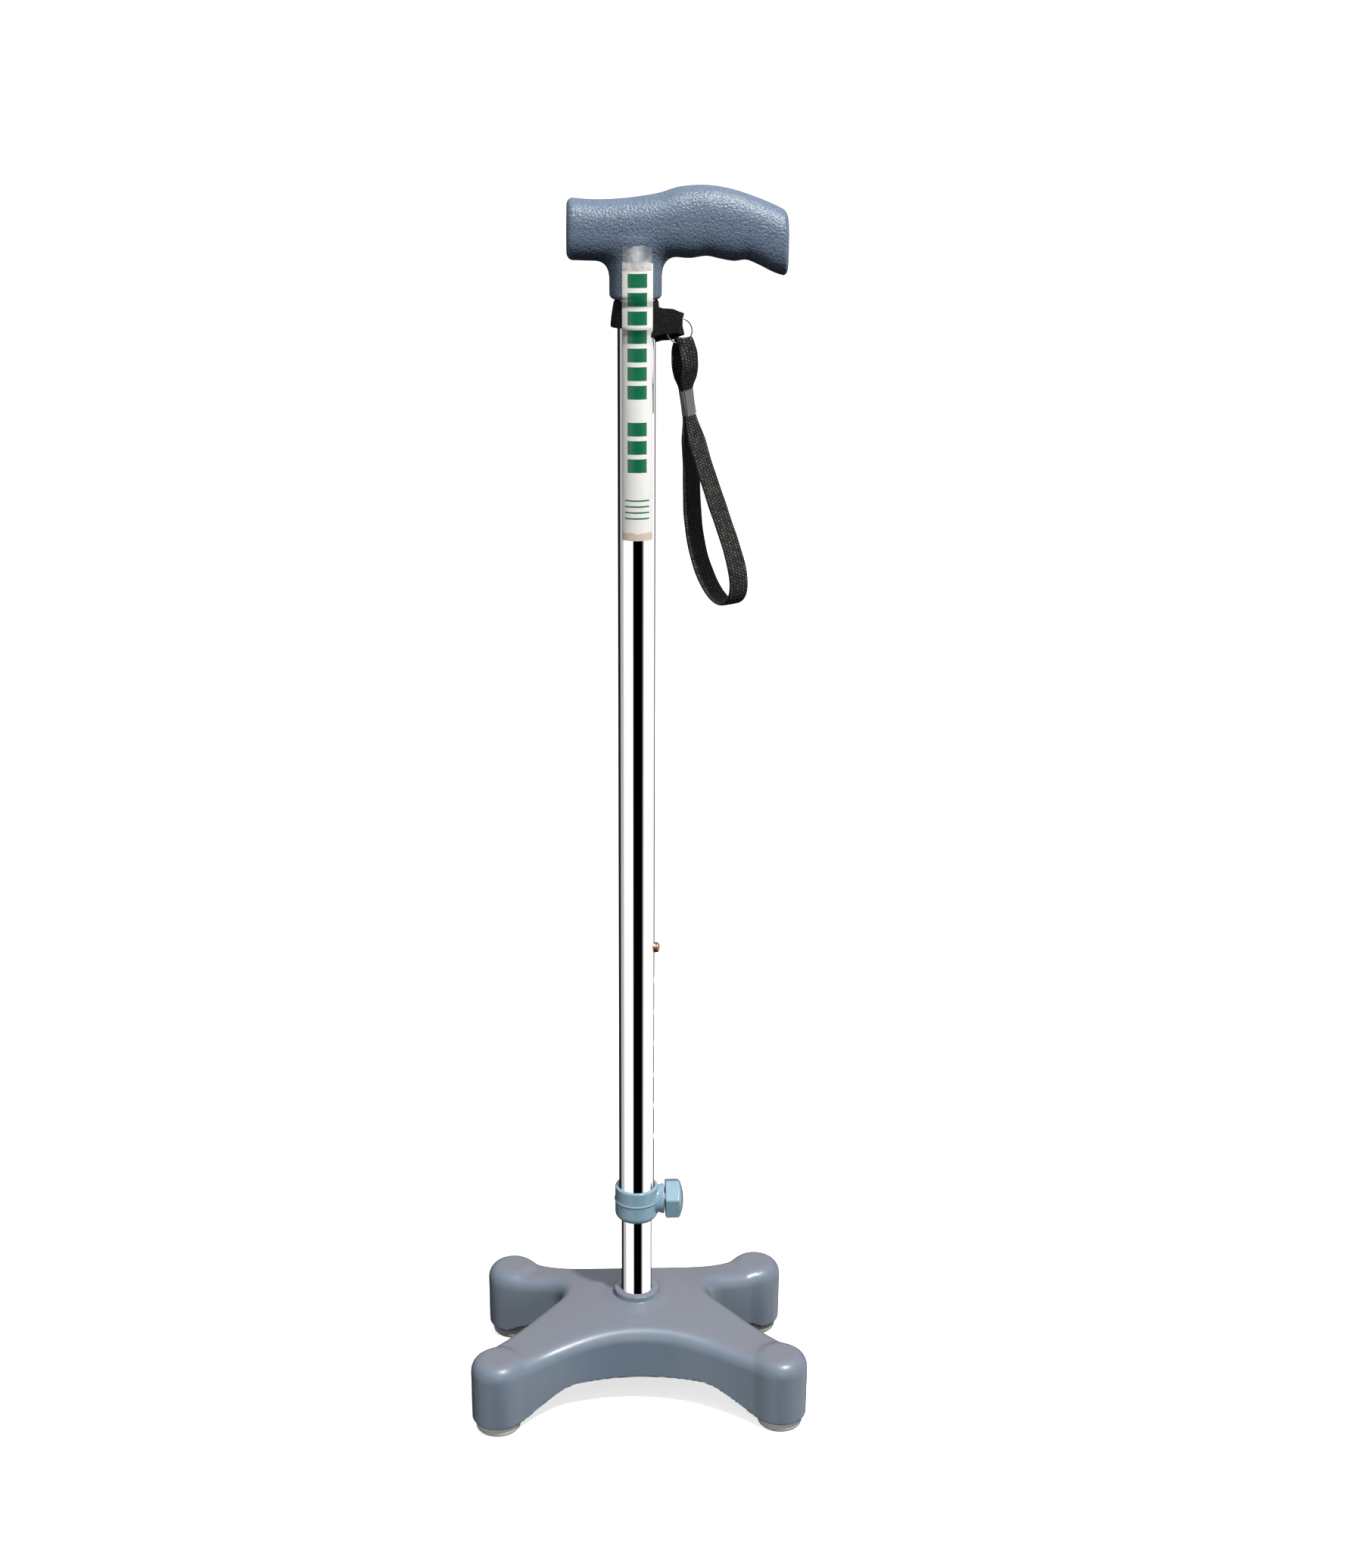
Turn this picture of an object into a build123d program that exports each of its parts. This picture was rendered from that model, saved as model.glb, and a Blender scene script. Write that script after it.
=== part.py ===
from build123d import *
import math
import os

# Quad walking cane in millimetres. +Z is up and the origin is on the floor under the shaft.
# +X is the side of the clamp knob and of the long end of the grip.

# ---- driving dimensions ----
LEG_R = 16.0
FRONT_FOOT = (87.0, -58.0)
REAR_FOOT = (79.5, 51.0)
FRONT_WAIST = 17.0
REAR_WAIST = 12.0
NOTCH_CENTRE = (62.0, 13.0)  # the side notches: straight flanks from the legs to an arc
NOTCH_R = 14.0
LEG_BOTTOM = 6.5
LEG_TOP = 47.0
PLATFORM_TOP = 54.0
SHELL_WALL = 3.5
BASE_EDGE_R = 7.0
ARCH_TOP = 20.0
ARCH_FLAT_R = 62.0
ARCH_END_R = 93.0
ARCH_Y = -3.5  # the arch is centred between the feet

FOOT_R = 13.7
FOOT_PLUG_R = 7.9
FOOT_PLUG_TOP = 21.0

HUB_R = 14.25
SOCKET_TOP = 60.0
SOCKET_FLOOR = 28.0
HUB_FLOOR_T = 4.0
HUB_SKIRT_R = 17.0
BOLT_RECESS_R = 9.0
BOLT_HEAD_FLATS = 10.0
BOLT_HEAD_T = 4.0
WASHER_R = 8.0
WASHER_T = 1.2
LEG_BOSS_R = 11.0
RIB_T = 3.0

OUTER_R = 11.0
OUTER_BORE = 9.8
INNER_R = 9.5
INNER_BORE = 8.3
INNER_TOP = 320.0
OUTER_BOTTOM = 112.0
OUTER_TOP = 735.0
FIT = 0.05

BUTTON_Z = 291.5
BUTTON_R = 3.2
BUTTON_HOLE_R = 3.28
BUTTON_PROUD = 3.3
BUTTON_FLANGE = 6.0
BUTTON_FLANGE_R = 3.9
BUTTON_FLANGE_T = 1.1
BUSH_BORE = 6.0
HOLE_PITCH = 21.0
HOLE_COUNT = 7

CLAMP_Z = 121.5
COLLAR_R = 13.5
COLLAR_BOTTOM = 109.5
COLLAR_TOP = 131.5
BOSS_R = 9.3
BOSS_END = 17.4
NUT_START = 11.15
NUT_END = 14.35
NUT_FLATS = 10.0
NUT_FIT = 0.1
PAD_R = 2.7
PAD_START = INNER_R + 0.02
PAD_END = 11.1
SCREW_R = 3.0
KNOB_START = 18.0
SCREW_HEAD_DEPTH = 2.0
SCREW_HEAD_T = 4.0
KNOB_FLAT_END = 26.4
KNOB_END = 29.5
KNOB_CORNER_R = 13.1
KNOB_TURN = 20.5

STEM_R = 14.6
STEM_BOTTOM = 686.6
SCREW_Z = 698.0
SCREW_SINK = 1.6
LABEL_TOP = 706.0
LABEL_BOTTOM = 548.0
LABEL_HALF_W = 9.3

BAND_R = 13.0
BAND_BOTTOM = 671.0
BAND_TOP = 686.0
TAB_END = 24.5
TAB_GAP = 1.2
TAB_LAYER = 1.2
RING_X = 24.5
RING_Z = 668.5
RING_R = 7.1
RING_WIRE_R = 0.5
WEB_T = 1.5
WEB_W = 12.0
LOOP_W = 11.0
LOOP_NECK_W = 5.6
STRAP_YAW = 50.0
HOOK = Vector(RING_X + 1.0, 0, RING_Z - RING_R)
CRIMP_TOP = Vector(28.4, 4.0, 634.6)
CRIMP_FOOT = Vector(30.6, 6.5, 619.2)
CRIMP_W = 7.0
CRIMP_T = 4.4

os.makedirs("parts", exist_ok=True)


def cyl(radius, z0, z1, x=0.0, y=0.0):
    """An upright cylinder from z0 to z1."""
    return Pos(x, y, (z0 + z1) / 2) * Cylinder(radius, z1 - z0)


def cyl_x(radius, x0, x1, z, y=0.0):
    """A cylinder along X from x0 to x1."""
    return Pos((x0 + x1) / 2, y, z) * Rot(0, 90, 0) * Cylinder(radius, x1 - x0)


def cyl_y(radius, y0, y1, x, z):
    """A cylinder along Y from y0 to y1."""
    return Pos(x, (y0 + y1) / 2, z) * Rot(90, 0, 0) * Cylinder(radius, y1 - y0)


def tube(outer, inner, z0, z1):
    """An upright tube from z0 to z1."""
    return cyl(outer, z0, z1) - cyl(inner, z0 - 1, z1 + 1)


def box(x0, x1, y0, y1, z0, z1):
    """A box between two corners."""
    return Pos((x0 + x1) / 2, (y0 + y1) / 2, (z0 + z1) / 2) * Box(x1 - x0, y1 - y0, z1 - z0)


def hex_bar(flats, x0, x1, z):
    """A hexagonal bar along X."""
    face = Plane(origin=(x0, 0, z), x_dir=(0, 1, 0), z_dir=(1, 0, 0)) * RegularPolygon(
        flats / 2, 6, major_radius=False)
    return extrude(face, amount=x1 - x0)


def hex_up(flats, z0, z1):
    """A hexagonal bar along Z."""
    return Pos(0, 0, z0) * extrude(RegularPolygon(flats / 2, 6, major_radius=False), amount=z1 - z0)


def revolved(points):
    """The solid that a closed outline of (radius, z) points makes about the Z axis."""
    corners = [(r, 0, z) for r, z in points]
    return revolve(make_face(Polyline(*corners, corners[0])), Axis.Z)


# ---- the four-legged base ----
FEET = {
    "front_right": FRONT_FOOT,
    "rear_right": REAR_FOOT,
    "rear_left": (-REAR_FOOT[0], REAR_FOOT[1]),
    "front_left": (-FRONT_FOOT[0], FRONT_FOOT[1]),
}


def waist(a, b, depth):
    """The concave side between feet a and b, as (first point, waist point, last point).

    It is an arc tangent to the circles of both legs, and depth inside the line of their centres.
    """
    a, b = Vector(*a), Vector(*b)
    middle = (a + b) / 2
    along = (b - a).normalized()
    outward = Vector(along.Y, -along.X)
    half = (b - a).length / 2
    radius = (depth ** 2 + half ** 2 - LEG_R ** 2) / (2 * (LEG_R + depth))
    centre = middle + outward * (radius - depth)
    first = a + (centre - a).normalized() * LEG_R
    last = b + (centre - b).normalized() * LEG_R
    return first, middle - outward * depth, last


def flank(leg, centre, turn):
    """The straight side that touches a leg's circle and a notch's arc: the two points, the normal."""
    leg, centre = Vector(*leg), Vector(*centre)
    apart = centre - leg
    angle = math.atan2(apart.Y, apart.X) + turn * math.acos((LEG_R + NOTCH_R) / apart.length)
    normal = Vector(math.cos(angle), math.sin(angle))
    return leg + normal * LEG_R, centre - normal * NOTCH_R, normal


def notch(a, b, centre):
    """The edges of the side notch between feet a and b."""
    first, start, leaving = flank(a, centre, -1)
    last, end, arriving = flank(b, centre, 1)
    deepest = Vector(*centre) - (leaving + arriving).normalized() * NOTCH_R
    return [Line(first, start), ThreePointArc(start, deepest, end), Line(end, last)]


def base_outline():
    """The base seen from above: four leg arcs joined by two concave sides and two notches."""
    x, y = NOTCH_CENTRE
    sides = [
        [ThreePointArc(*waist(FEET["front_left"], FEET["front_right"], FRONT_WAIST))],
        notch(FEET["front_right"], FEET["rear_right"], (x, y)),
        [ThreePointArc(*waist(FEET["rear_right"], FEET["rear_left"], REAR_WAIST))],
        notch(FEET["rear_left"], FEET["front_left"], (-x, y)),
    ]
    edges = []
    for i, name in enumerate(["front_right", "rear_right", "rear_left", "front_left"]):
        leg = Vector(*FEET[name])
        tip = leg + leg.normalized() * LEG_R
        edges += sides[i]
        edges.append(ThreePointArc(sides[i][-1] @ 1, tip, sides[(i + 1) % 4][0] @ 0))
    return make_face(edges)


def base_cap(drop):
    """What lies under the base's top surface: flat over the hub, and falling smoothly to the legs."""
    top, low = PLATFORM_TOP - drop, LEG_TOP - drop
    flat, foot, rim = 22.0, 93.0, 130.0
    slope = Spline((flat, 0, top), (foot, 0, low), tangents=((1, 0, 0), (1, 0, 0)))
    lines = [
        Line((0, 0, 0), (0, 0, top)),
        Line((0, 0, top), (flat, 0, top)),
        slope,
        Line((foot, 0, low), (rim, 0, low)),
        Line((rim, 0, low), (rim, 0, 0)),
        Line((rim, 0, 0), (0, 0, 0)),
    ]
    return revolve(make_face(lines), Axis.Z)


def make_base_shell():
    outline = base_outline()
    body = (Pos(0, 0, LEG_BOTTOM) * extrude(outline, amount=PLATFORM_TOP)) & base_cap(0)
    top_edges = [e for e in body.edges() if e.center().Z > LEG_TOP - 1]
    body = fillet(top_edges, BASE_EDGE_R)
    # underside arch
    arch = Pos(0, ARCH_Y, 0) * revolved([
        (0, 0), (0, ARCH_TOP), (ARCH_FLAT_R, ARCH_TOP), (ARCH_END_R, LEG_BOTTOM), (ARCH_END_R, 0)])
    # the hollow under the skin, around the hub, the ribs and the leg bosses
    inside = offset(outline, -SHELL_WALL)
    hollow = extrude(inside, amount=PLATFORM_TOP) & base_cap(SHELL_WALL + 1)
    hollow -= cyl(HUB_R, 0, PLATFORM_TOP)
    for x, y in FEET.values():
        hollow -= cyl(LEG_BOSS_R, 0, PLATFORM_TOP, x, y)
        length = math.hypot(x, y)
        rib = box(0, length, -RIB_T / 2, RIB_T / 2, 0, PLATFORM_TOP)
        hollow -= Rot(0, 0, math.degrees(math.atan2(y, x))) * rib
    body -= arch
    body -= hollow
    # raised socket that the shaft stands in
    socket = revolved([(0, ARCH_TOP), (HUB_R, ARCH_TOP), (HUB_R, PLATFORM_TOP - 3),
                       (HUB_SKIRT_R, PLATFORM_TOP - 3), (HUB_SKIRT_R, PLATFORM_TOP),
                       (HUB_R, PLATFORM_TOP + 2.5), (HUB_R, SOCKET_TOP), (0, SOCKET_TOP)])
    body += socket
    body -= cyl(INNER_R + FIT, SOCKET_FLOOR, SOCKET_TOP + 1)
    body -= cyl(SCREW_R + 0.3, 0, SOCKET_FLOOR + 1)
    body -= cyl(BOLT_RECESS_R, 0, SOCKET_FLOOR - HUB_FLOOR_T)
    for x, y in FEET.values():
        body -= cyl(FOOT_PLUG_R + FIT, 0, FOOT_PLUG_TOP + 2, x, y)
    return body


def make_foot(x, y):
    """A rubber foot: a round pad with a plug that pushes up into the leg."""
    pad = cyl(FOOT_R, 0, LEG_BOTTOM, x, y)
    rim = pad.edges().filter_by(GeomType.CIRCLE).sort_by(Axis.Z)[0]
    pad = fillet(rim, 1.2)
    return pad + cyl(FOOT_PLUG_R, LEG_BOTTOM, FOOT_PLUG_TOP, x, y)


def make_base_bolt():
    floor = SOCKET_FLOOR - HUB_FLOOR_T
    head_top = floor - WASHER_T
    head = hex_up(BOLT_HEAD_FLATS, head_top - BOLT_HEAD_T, head_top)
    return head + cyl(SCREW_R, head_top, SOCKET_FLOOR + 10)


def make_base_washer():
    floor = SOCKET_FLOOR - HUB_FLOOR_T
    return tube(WASHER_R, SCREW_R + 0.2, floor - WASHER_T, floor)


# ---- the shaft ----
def make_tube_end_plug():
    """The threaded plug in the foot of the inner tube that the base bolt screws into."""
    return tube(INNER_BORE - FIT, SCREW_R + FIT, SOCKET_FLOOR, SOCKET_FLOOR + 14)


def make_inner_tube():
    body = tube(INNER_R, INNER_BORE, SOCKET_FLOOR, INNER_TOP)
    return body - cyl_x(BUTTON_HOLE_R, 0, INNER_R + 2, BUTTON_Z)


def make_guide_bush():
    """The plastic bush in the top of the inner tube that centres it in the outer one."""
    flange = cyl(OUTER_BORE - 0.08, INNER_TOP, INNER_TOP + 6)
    plug = cyl(INNER_BORE - FIT, INNER_TOP - 12, INNER_TOP)
    return flange + plug - cyl(BUSH_BORE, INNER_TOP - 20, INNER_TOP + 10)


def make_outer_tube():
    body = tube(OUTER_R, OUTER_BORE, OUTER_BOTTOM, OUTER_TOP)
    for i in range(HOLE_COUNT):
        body -= cyl_x(BUTTON_HOLE_R, 0, OUTER_R + 2, BUTTON_Z - i * HOLE_PITCH)
    body -= cyl_x(PAD_R + 0.3, 0, OUTER_R + 2, CLAMP_Z)
    return body - cyl_y(1.6, 0, OUTER_R + 2, 0, SCREW_Z)


def make_snap_button():
    """The sprung pin: a flange inside the inner tube and a round nose through both tubes."""
    tip = OUTER_R + BUTTON_PROUD
    nose = cyl_x(BUTTON_R, BUTTON_FLANGE + 1, tip, BUTTON_Z)
    nose = fillet(nose.edges().filter_by(GeomType.CIRCLE).sort_by(Axis.X)[-1], 1.6)
    flange = cyl_x(BUTTON_FLANGE_R, BUTTON_FLANGE, BUTTON_FLANGE + BUTTON_FLANGE_T, BUTTON_Z)
    return flange + nose


def make_button_spring():
    """The bent leaf spring behind the button: it braces on the far wall of the inner tube."""
    leaf_t, leaf_w = 0.5, 6.0
    far, near = -7.2, BUTTON_FLANGE - 0.3
    low, high = BUTTON_Z - 42, BUTTON_Z + 7
    bend = 3.5
    path = [
        Line((far, 0, high), (far, 0, low)),
        ThreePointArc((far, 0, low), (far + bend, 0, low - bend), (far + 2 * bend, 0, low)),
        Line((far + 2 * bend, 0, low), (near, 0, BUTTON_Z - 7)),
        Line((near, 0, BUTTON_Z - 7), (near, 0, high)),
    ]
    section = Pos(far, 0, high) * Rectangle(leaf_t, leaf_w)
    return sweep(section, path=Wire(path), transition=Transition.RIGHT)


# ---- the clamp ----
def make_collar():
    """The clamp collar round the foot of the outer tube, with the boss that holds the nut."""
    mid = (COLLAR_BOTTOM + COLLAR_TOP) / 2
    body = revolved([(0, COLLAR_BOTTOM), (COLLAR_R - 2.5, COLLAR_BOTTOM),
                     (COLLAR_R, COLLAR_BOTTOM + 3.5), (COLLAR_R, mid - 0.6), (COLLAR_R + 0.5, mid),
                     (COLLAR_R, mid + 0.6), (COLLAR_R - 0.3, COLLAR_TOP), (0, COLLAR_TOP)])
    body += cyl_x(BOSS_R, 0, BOSS_END, CLAMP_Z)
    body -= cyl(OUTER_R + 0.03, OUTER_BOTTOM, COLLAR_TOP + 5)
    body -= cyl(INNER_R + 0.08, COLLAR_BOTTOM - 5, COLLAR_TOP + 5)
    body -= cyl_x(SCREW_R + 0.3, 0, BOSS_END + 1, CLAMP_Z)
    return body - hex_bar(NUT_FLATS + NUT_FIT, 0, NUT_END, CLAMP_Z)


def make_clamp_nut():
    nut = hex_bar(NUT_FLATS, NUT_START, NUT_END - 0.02, CLAMP_Z)
    return nut - cyl_x(SCREW_R + FIT, NUT_START - 1, NUT_END + 1, CLAMP_Z)


def make_clamp_pad():
    """The small pressure pad that the screw pushes against the inner tube."""
    return cyl_x(PAD_R, PAD_START, PAD_END, CLAMP_Z) - cyl(PAD_START, CLAMP_Z - 5, CLAMP_Z + 5)


def make_clamp_screw():
    head = KNOB_START + SCREW_HEAD_DEPTH
    stud = cyl_x(SCREW_R, PAD_END + 0.02, head, CLAMP_Z)
    return stud + hex_bar(NUT_FLATS, head, head + SCREW_HEAD_T, CLAMP_Z)


def make_clamp_knob():
    """The six-sided knob with a domed end, moulded over the screw's head."""
    face = Plane(origin=(KNOB_START, 0, CLAMP_Z), x_dir=(0, 1, 0), z_dir=(1, 0, 0)) * (
        Rot(0, 0, 180 - KNOB_TURN) * RegularPolygon(KNOB_CORNER_R, 6))
    body = extrude(face, amount=KNOB_END - KNOB_START)
    body = fillet(body.edges().filter_by(Axis.X), 1.6)
    rise = KNOB_END - KNOB_FLAT_END
    dome_r = (KNOB_CORNER_R ** 2 + rise ** 2) / (2 * rise)
    body &= Pos(KNOB_END - dome_r, 0, CLAMP_Z) * Sphere(dome_r)
    head = KNOB_START + SCREW_HEAD_DEPTH
    body -= cyl_x(SCREW_R + FIT, KNOB_START - 1, head + 1, CLAMP_Z)
    return body - hex_bar(NUT_FLATS + NUT_FIT, head, head + SCREW_HEAD_T + FIT, CLAMP_Z)


# ---- the handle ----
# stations along the grip: (x, underside z, top z, width)
GRIP = [
    (-39.7, 714.5, 739.0, 19.0),
    (-37.0, 709.5, 742.8, 25.0),
    (-23.0, 708.3, 742.5, 29.0),
    (0.0, 708.6, 743.8, 30.0),
    (24.0, 710.2, 749.2, 29.0),
    (40.0, 710.6, 750.2, 28.0),
    (60.0, 708.5, 747.0, 28.5),
    (74.0, 703.4, 743.0, 28.5),
    (83.0, 700.4, 738.6, 26.0),
    (86.0, 704.0, 734.0, 20.0),
]


def make_handle():
    sections = []
    for x, low, high, width in GRIP:
        corner = 0.45 * width
        plane = Plane(origin=(x, 0, (low + high) / 2), x_dir=(0, 1, 0), z_dir=(1, 0, 0))
        sections.append(plane * RectangleRounded(width, high - low, corner))
    body = loft(sections)
    stem = cyl(STEM_R, STEM_BOTTOM, 725)
    stem = fillet(stem.edges().filter_by(GeomType.CIRCLE).sort_by(Axis.Z)[0], 3.0)
    body += stem
    body -= cyl(OUTER_R + 0.02, STEM_BOTTOM - 1, OUTER_TOP + 0.1)
    body -= cyl_y(1.9, 0, STEM_R + 2, 0, SCREW_Z)
    return body - cyl_y(3.6, STEM_R - SCREW_SINK, STEM_R + 5, 0, SCREW_Z)


def make_handle_screw():
    """The self-tapping screw at the back of the stem that keeps the handle on the tube."""
    seat = STEM_R - SCREW_SINK
    face = seat + 1.5
    screw = cyl_y(1.5, OUTER_BORE - 2, seat, 0, SCREW_Z) + cyl_y(3.3, seat, face, 0, SCREW_Z)
    reach, slot, depth = 2.1, 0.45, 0.9
    screw -= box(-reach, reach, face - depth, face + 1, SCREW_Z - slot, SCREW_Z + slot)
    return screw - box(-slot, slot, face - depth, face + 1, SCREW_Z - reach, SCREW_Z + reach)


def make_paper_label():
    """The paper strip stuck down the front, over the stem and the band and on to the tube."""
    paper_t, gap, half_turn = 0.2, 0.03, 65
    stem, band, shaft = STEM_R + gap, BAND_R + gap, OUTER_R + gap
    side = [(stem, LABEL_TOP), (stem, STEM_BOTTOM), (band, STEM_BOTTOM - 3),
            (band, BAND_BOTTOM), (shaft, BAND_BOTTOM - 5), (shaft, LABEL_BOTTOM)]
    outside = [(r + paper_t, z) for r, z in reversed(side)]
    corners = [(r, 0, z) for r, z in side + outside]
    strip = revolve(make_face(Polyline(*corners, corners[0])), Axis.Z, 2 * half_turn)
    strip = Rot(0, 0, -90 - half_turn) * strip
    return strip & box(-LABEL_HALF_W, LABEL_HALF_W, -2 * STEM_R, 0, LABEL_BOTTOM - 1, LABEL_TOP + 1)


# ---- the wrist strap ----
def make_strap_band():
    """The elastic band round the tube and its two-layer tab, folded round the split ring."""
    band = tube(BAND_R, OUTER_R + FIT, BAND_BOTTOM, BAND_TOP)
    half, fold = TAB_GAP + TAB_LAYER, TAB_END - TAB_GAP - TAB_LAYER
    low, high = RING_Z - 3.2, RING_Z + 4.0
    tab = box(OUTER_R + 1, fold, -half, half, low, high) + cyl(half, low, high, fold)
    tab -= box(16.0, fold, -TAB_GAP, TAB_GAP, low - 1, high + 1) + cyl(TAB_GAP, low - 1, high + 1, fold)
    root = box(OUTER_R + 1, 15.5, -half, half, 662.0, 679.0)
    body = band + tab + root
    return body - cyl(OUTER_R + FIT, 650, 700)


def make_split_ring():
    return Pos(RING_X, 0, RING_Z) * Rot(90, 0, 0) * Torus(RING_R, RING_WIRE_R)


def make_strap_crimp():
    """The folded metal clip that holds the strap's two ends together."""
    down = (CRIMP_FOOT - CRIMP_TOP).normalized()
    yaw = math.radians(STRAP_YAW)
    wide = Vector(math.sin(yaw), math.cos(yaw), 0)
    wide = (wide - down * wide.dot(down)).normalized()
    plane = Plane(origin=CRIMP_TOP, x_dir=wide, z_dir=down)
    block = extrude(plane * Rectangle(CRIMP_W, CRIMP_T), amount=(CRIMP_FOOT - CRIMP_TOP).length)
    return fillet(block.edges().filter_by(Axis(CRIMP_TOP, down)), 0.6)


def rounded_path(points, name):
    """Straight runs joined by tangent arcs that are as large as the runs allow."""
    radii = []
    for a, b, c in zip(points, points[1:], points[2:]):
        turn = math.radians((b - a).get_angle(c - b))
        shorter = min((b - a).length, (c - b).length)
        radii.append(0.45 * shorter / math.tan(turn / 2))
    print(name, "radii", [round(r, 1) for r in radii])
    return FilletPolyline(*points, radius=radii)


def ribbon(points, wide_dir, width, name):
    """A flat strap along a path in one plane; wide_dir is that plane's normal."""
    path = rounded_path(points, name)
    start = (points[1] - points[0]).normalized()
    plane = Plane(origin=points[0], x_dir=wide_dir, z_dir=start)
    return sweep(plane * Rectangle(width, WEB_T), path=path)


def make_strap_loop():
    """The short loop of webbing that hangs on the split ring."""
    reach = CRIMP_TOP - HOOK
    down = reach.normalized()
    wide = Vector(1, 0, 0)
    wide = (wide - down * wide.dot(down)).normalized()
    out = wide.cross(down)
    length = reach.length + 1
    # (how far out from the middle, how far down from the ring's wire)
    half = [(0.95, length), (3.4, 18.0), (4.6, 9.0), (3.4, 1.6)]
    side = [HOOK + out * o + down * d for o, d in half]
    crown = [HOOK + out * 1.3 + down * -2.4, HOOK + out * -1.3 + down * -2.4]
    other = [HOOK + out * -o + down * d for o, d in reversed(half)]
    loop = ribbon(side + crown + other, wide, LOOP_W, "strap_loop")
    # the webbing is drawn in where it passes through the ring
    neck, full = LOOP_NECK_W / 2, LOOP_W / 2
    shape = [(-neck, -5), (neck, -5), (neck, 1), (full, 9), (full, length), (-full, length),
             (-full, 9), (-neck, 1)]
    corners = [HOOK + wide * w + down * d - out * LOOP_W for w, d in shape]
    loop &= extrude(make_face(Polyline(*corners, corners[0])), amount=2 * LOOP_W, dir=out)
    return loop - make_strap_crimp()


# the wrist loop in its own plane: (across, below the crimp), down one side and up the other
WRIST_ROUTE = [
    (-0.95, 0.15), (1.6, 20.0), (2.2, 40.0), (3.2, 60.0), (7.0, 77.5), (13.5, 91.5),
    (23.0, 103.0), (34.0, 107.5), (42.0, 101.5), (42.8, 89.0), (36.6, 73.0), (28.0, 57.0),
    (18.5, 39.0), (9.0, 20.0), (0.95, 0.15),
]


def make_wrist_loop():
    """The long hanging loop that goes round the wrist."""
    yaw = math.radians(STRAP_YAW)
    across = Vector(math.cos(yaw), -math.sin(yaw), 0)
    wide = Vector(math.sin(yaw), math.cos(yaw), 0)
    points = [CRIMP_FOOT + across * s + Vector(0, 0, -d) for s, d in WRIST_ROUTE]
    return ribbon(points, wide, WEB_W, "wrist_loop") - make_strap_crimp()


def make_all():
    nodes = {
        "base_shell": make_base_shell(),
        "base_bolt": make_base_bolt(),
        "base_washer": make_base_washer(),
        "tube_end_plug": make_tube_end_plug(),
        "inner_tube": make_inner_tube(),
        "guide_bush": make_guide_bush(),
        "button_spring": make_button_spring(),
        "snap_button": make_snap_button(),
        "outer_tube": make_outer_tube(),
        "collar": make_collar(),
        "clamp_nut": make_clamp_nut(),
        "clamp_pad": make_clamp_pad(),
        "clamp_screw": make_clamp_screw(),
        "clamp_knob": make_clamp_knob(),
        "handle": make_handle(),
        "handle_screw": make_handle_screw(),
        "paper_label": make_paper_label(),
        "strap_band": make_strap_band(),
        "split_ring": make_split_ring(),
        "strap_loop": make_strap_loop(),
        "strap_crimp": make_strap_crimp(),
        "wrist_loop": make_wrist_loop(),
    }
    for name, (x, y) in FEET.items():
        nodes["foot_" + name] = make_foot(x, y)
    return nodes


for node, shape in make_all().items():
    export_step(shape, f"parts/{node}.step")
    print(node, round(shape.volume), "mm3")
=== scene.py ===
"""A quad walking cane: the looks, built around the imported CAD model.

Shapes are worked out in millimetres and made in metres, in the row frame: +Z up, the floor at 0.
"""
import itertools
import math

import bpy
import numpy as np
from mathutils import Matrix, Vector


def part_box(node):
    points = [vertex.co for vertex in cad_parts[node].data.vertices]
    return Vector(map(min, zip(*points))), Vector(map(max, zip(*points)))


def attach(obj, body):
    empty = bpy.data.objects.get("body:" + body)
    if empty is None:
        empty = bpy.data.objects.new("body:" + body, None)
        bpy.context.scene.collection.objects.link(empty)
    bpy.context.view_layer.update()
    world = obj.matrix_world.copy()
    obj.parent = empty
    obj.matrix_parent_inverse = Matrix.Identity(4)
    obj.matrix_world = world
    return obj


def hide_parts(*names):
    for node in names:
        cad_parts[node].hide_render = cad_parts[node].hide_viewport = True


MM = 0.001

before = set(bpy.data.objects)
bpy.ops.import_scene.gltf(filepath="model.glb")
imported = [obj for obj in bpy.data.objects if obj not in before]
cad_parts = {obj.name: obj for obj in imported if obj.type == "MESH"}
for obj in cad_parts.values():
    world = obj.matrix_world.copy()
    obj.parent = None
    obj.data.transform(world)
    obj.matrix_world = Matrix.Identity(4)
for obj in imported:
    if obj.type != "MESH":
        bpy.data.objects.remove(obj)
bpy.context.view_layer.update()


def span(node):
    """A CAD node's lowest and highest corners, in millimetres."""
    low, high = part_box(node)
    return np.array(low) / MM, np.array(high) / MM


# ---- sizes taken from the frame ----
BASE_LOW, BASE_HIGH = span("base_shell")
FEET = {}
for corner in ("front_left", "front_right", "rear_left", "rear_right"):
    low, high = span("foot_" + corner)
    FEET[corner] = (low + high) / 2
    FOOT_R = (high[0] - low[0]) / 2
    FOOT_TOP = high[2]
LEG_BOTTOM = BASE_LOW[2]
SOCKET_TOP = BASE_HIGH[2]
LEG_R = BASE_HIGH[0] - FEET["front_right"][0]

INNER_LOW, INNER_HIGH = span("inner_tube")
OUTER_LOW, OUTER_HIGH = span("outer_tube")
INNER_R = INNER_HIGH[0]
OUTER_R = OUTER_HIGH[0]
TUBE_WALL = 1.2

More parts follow.
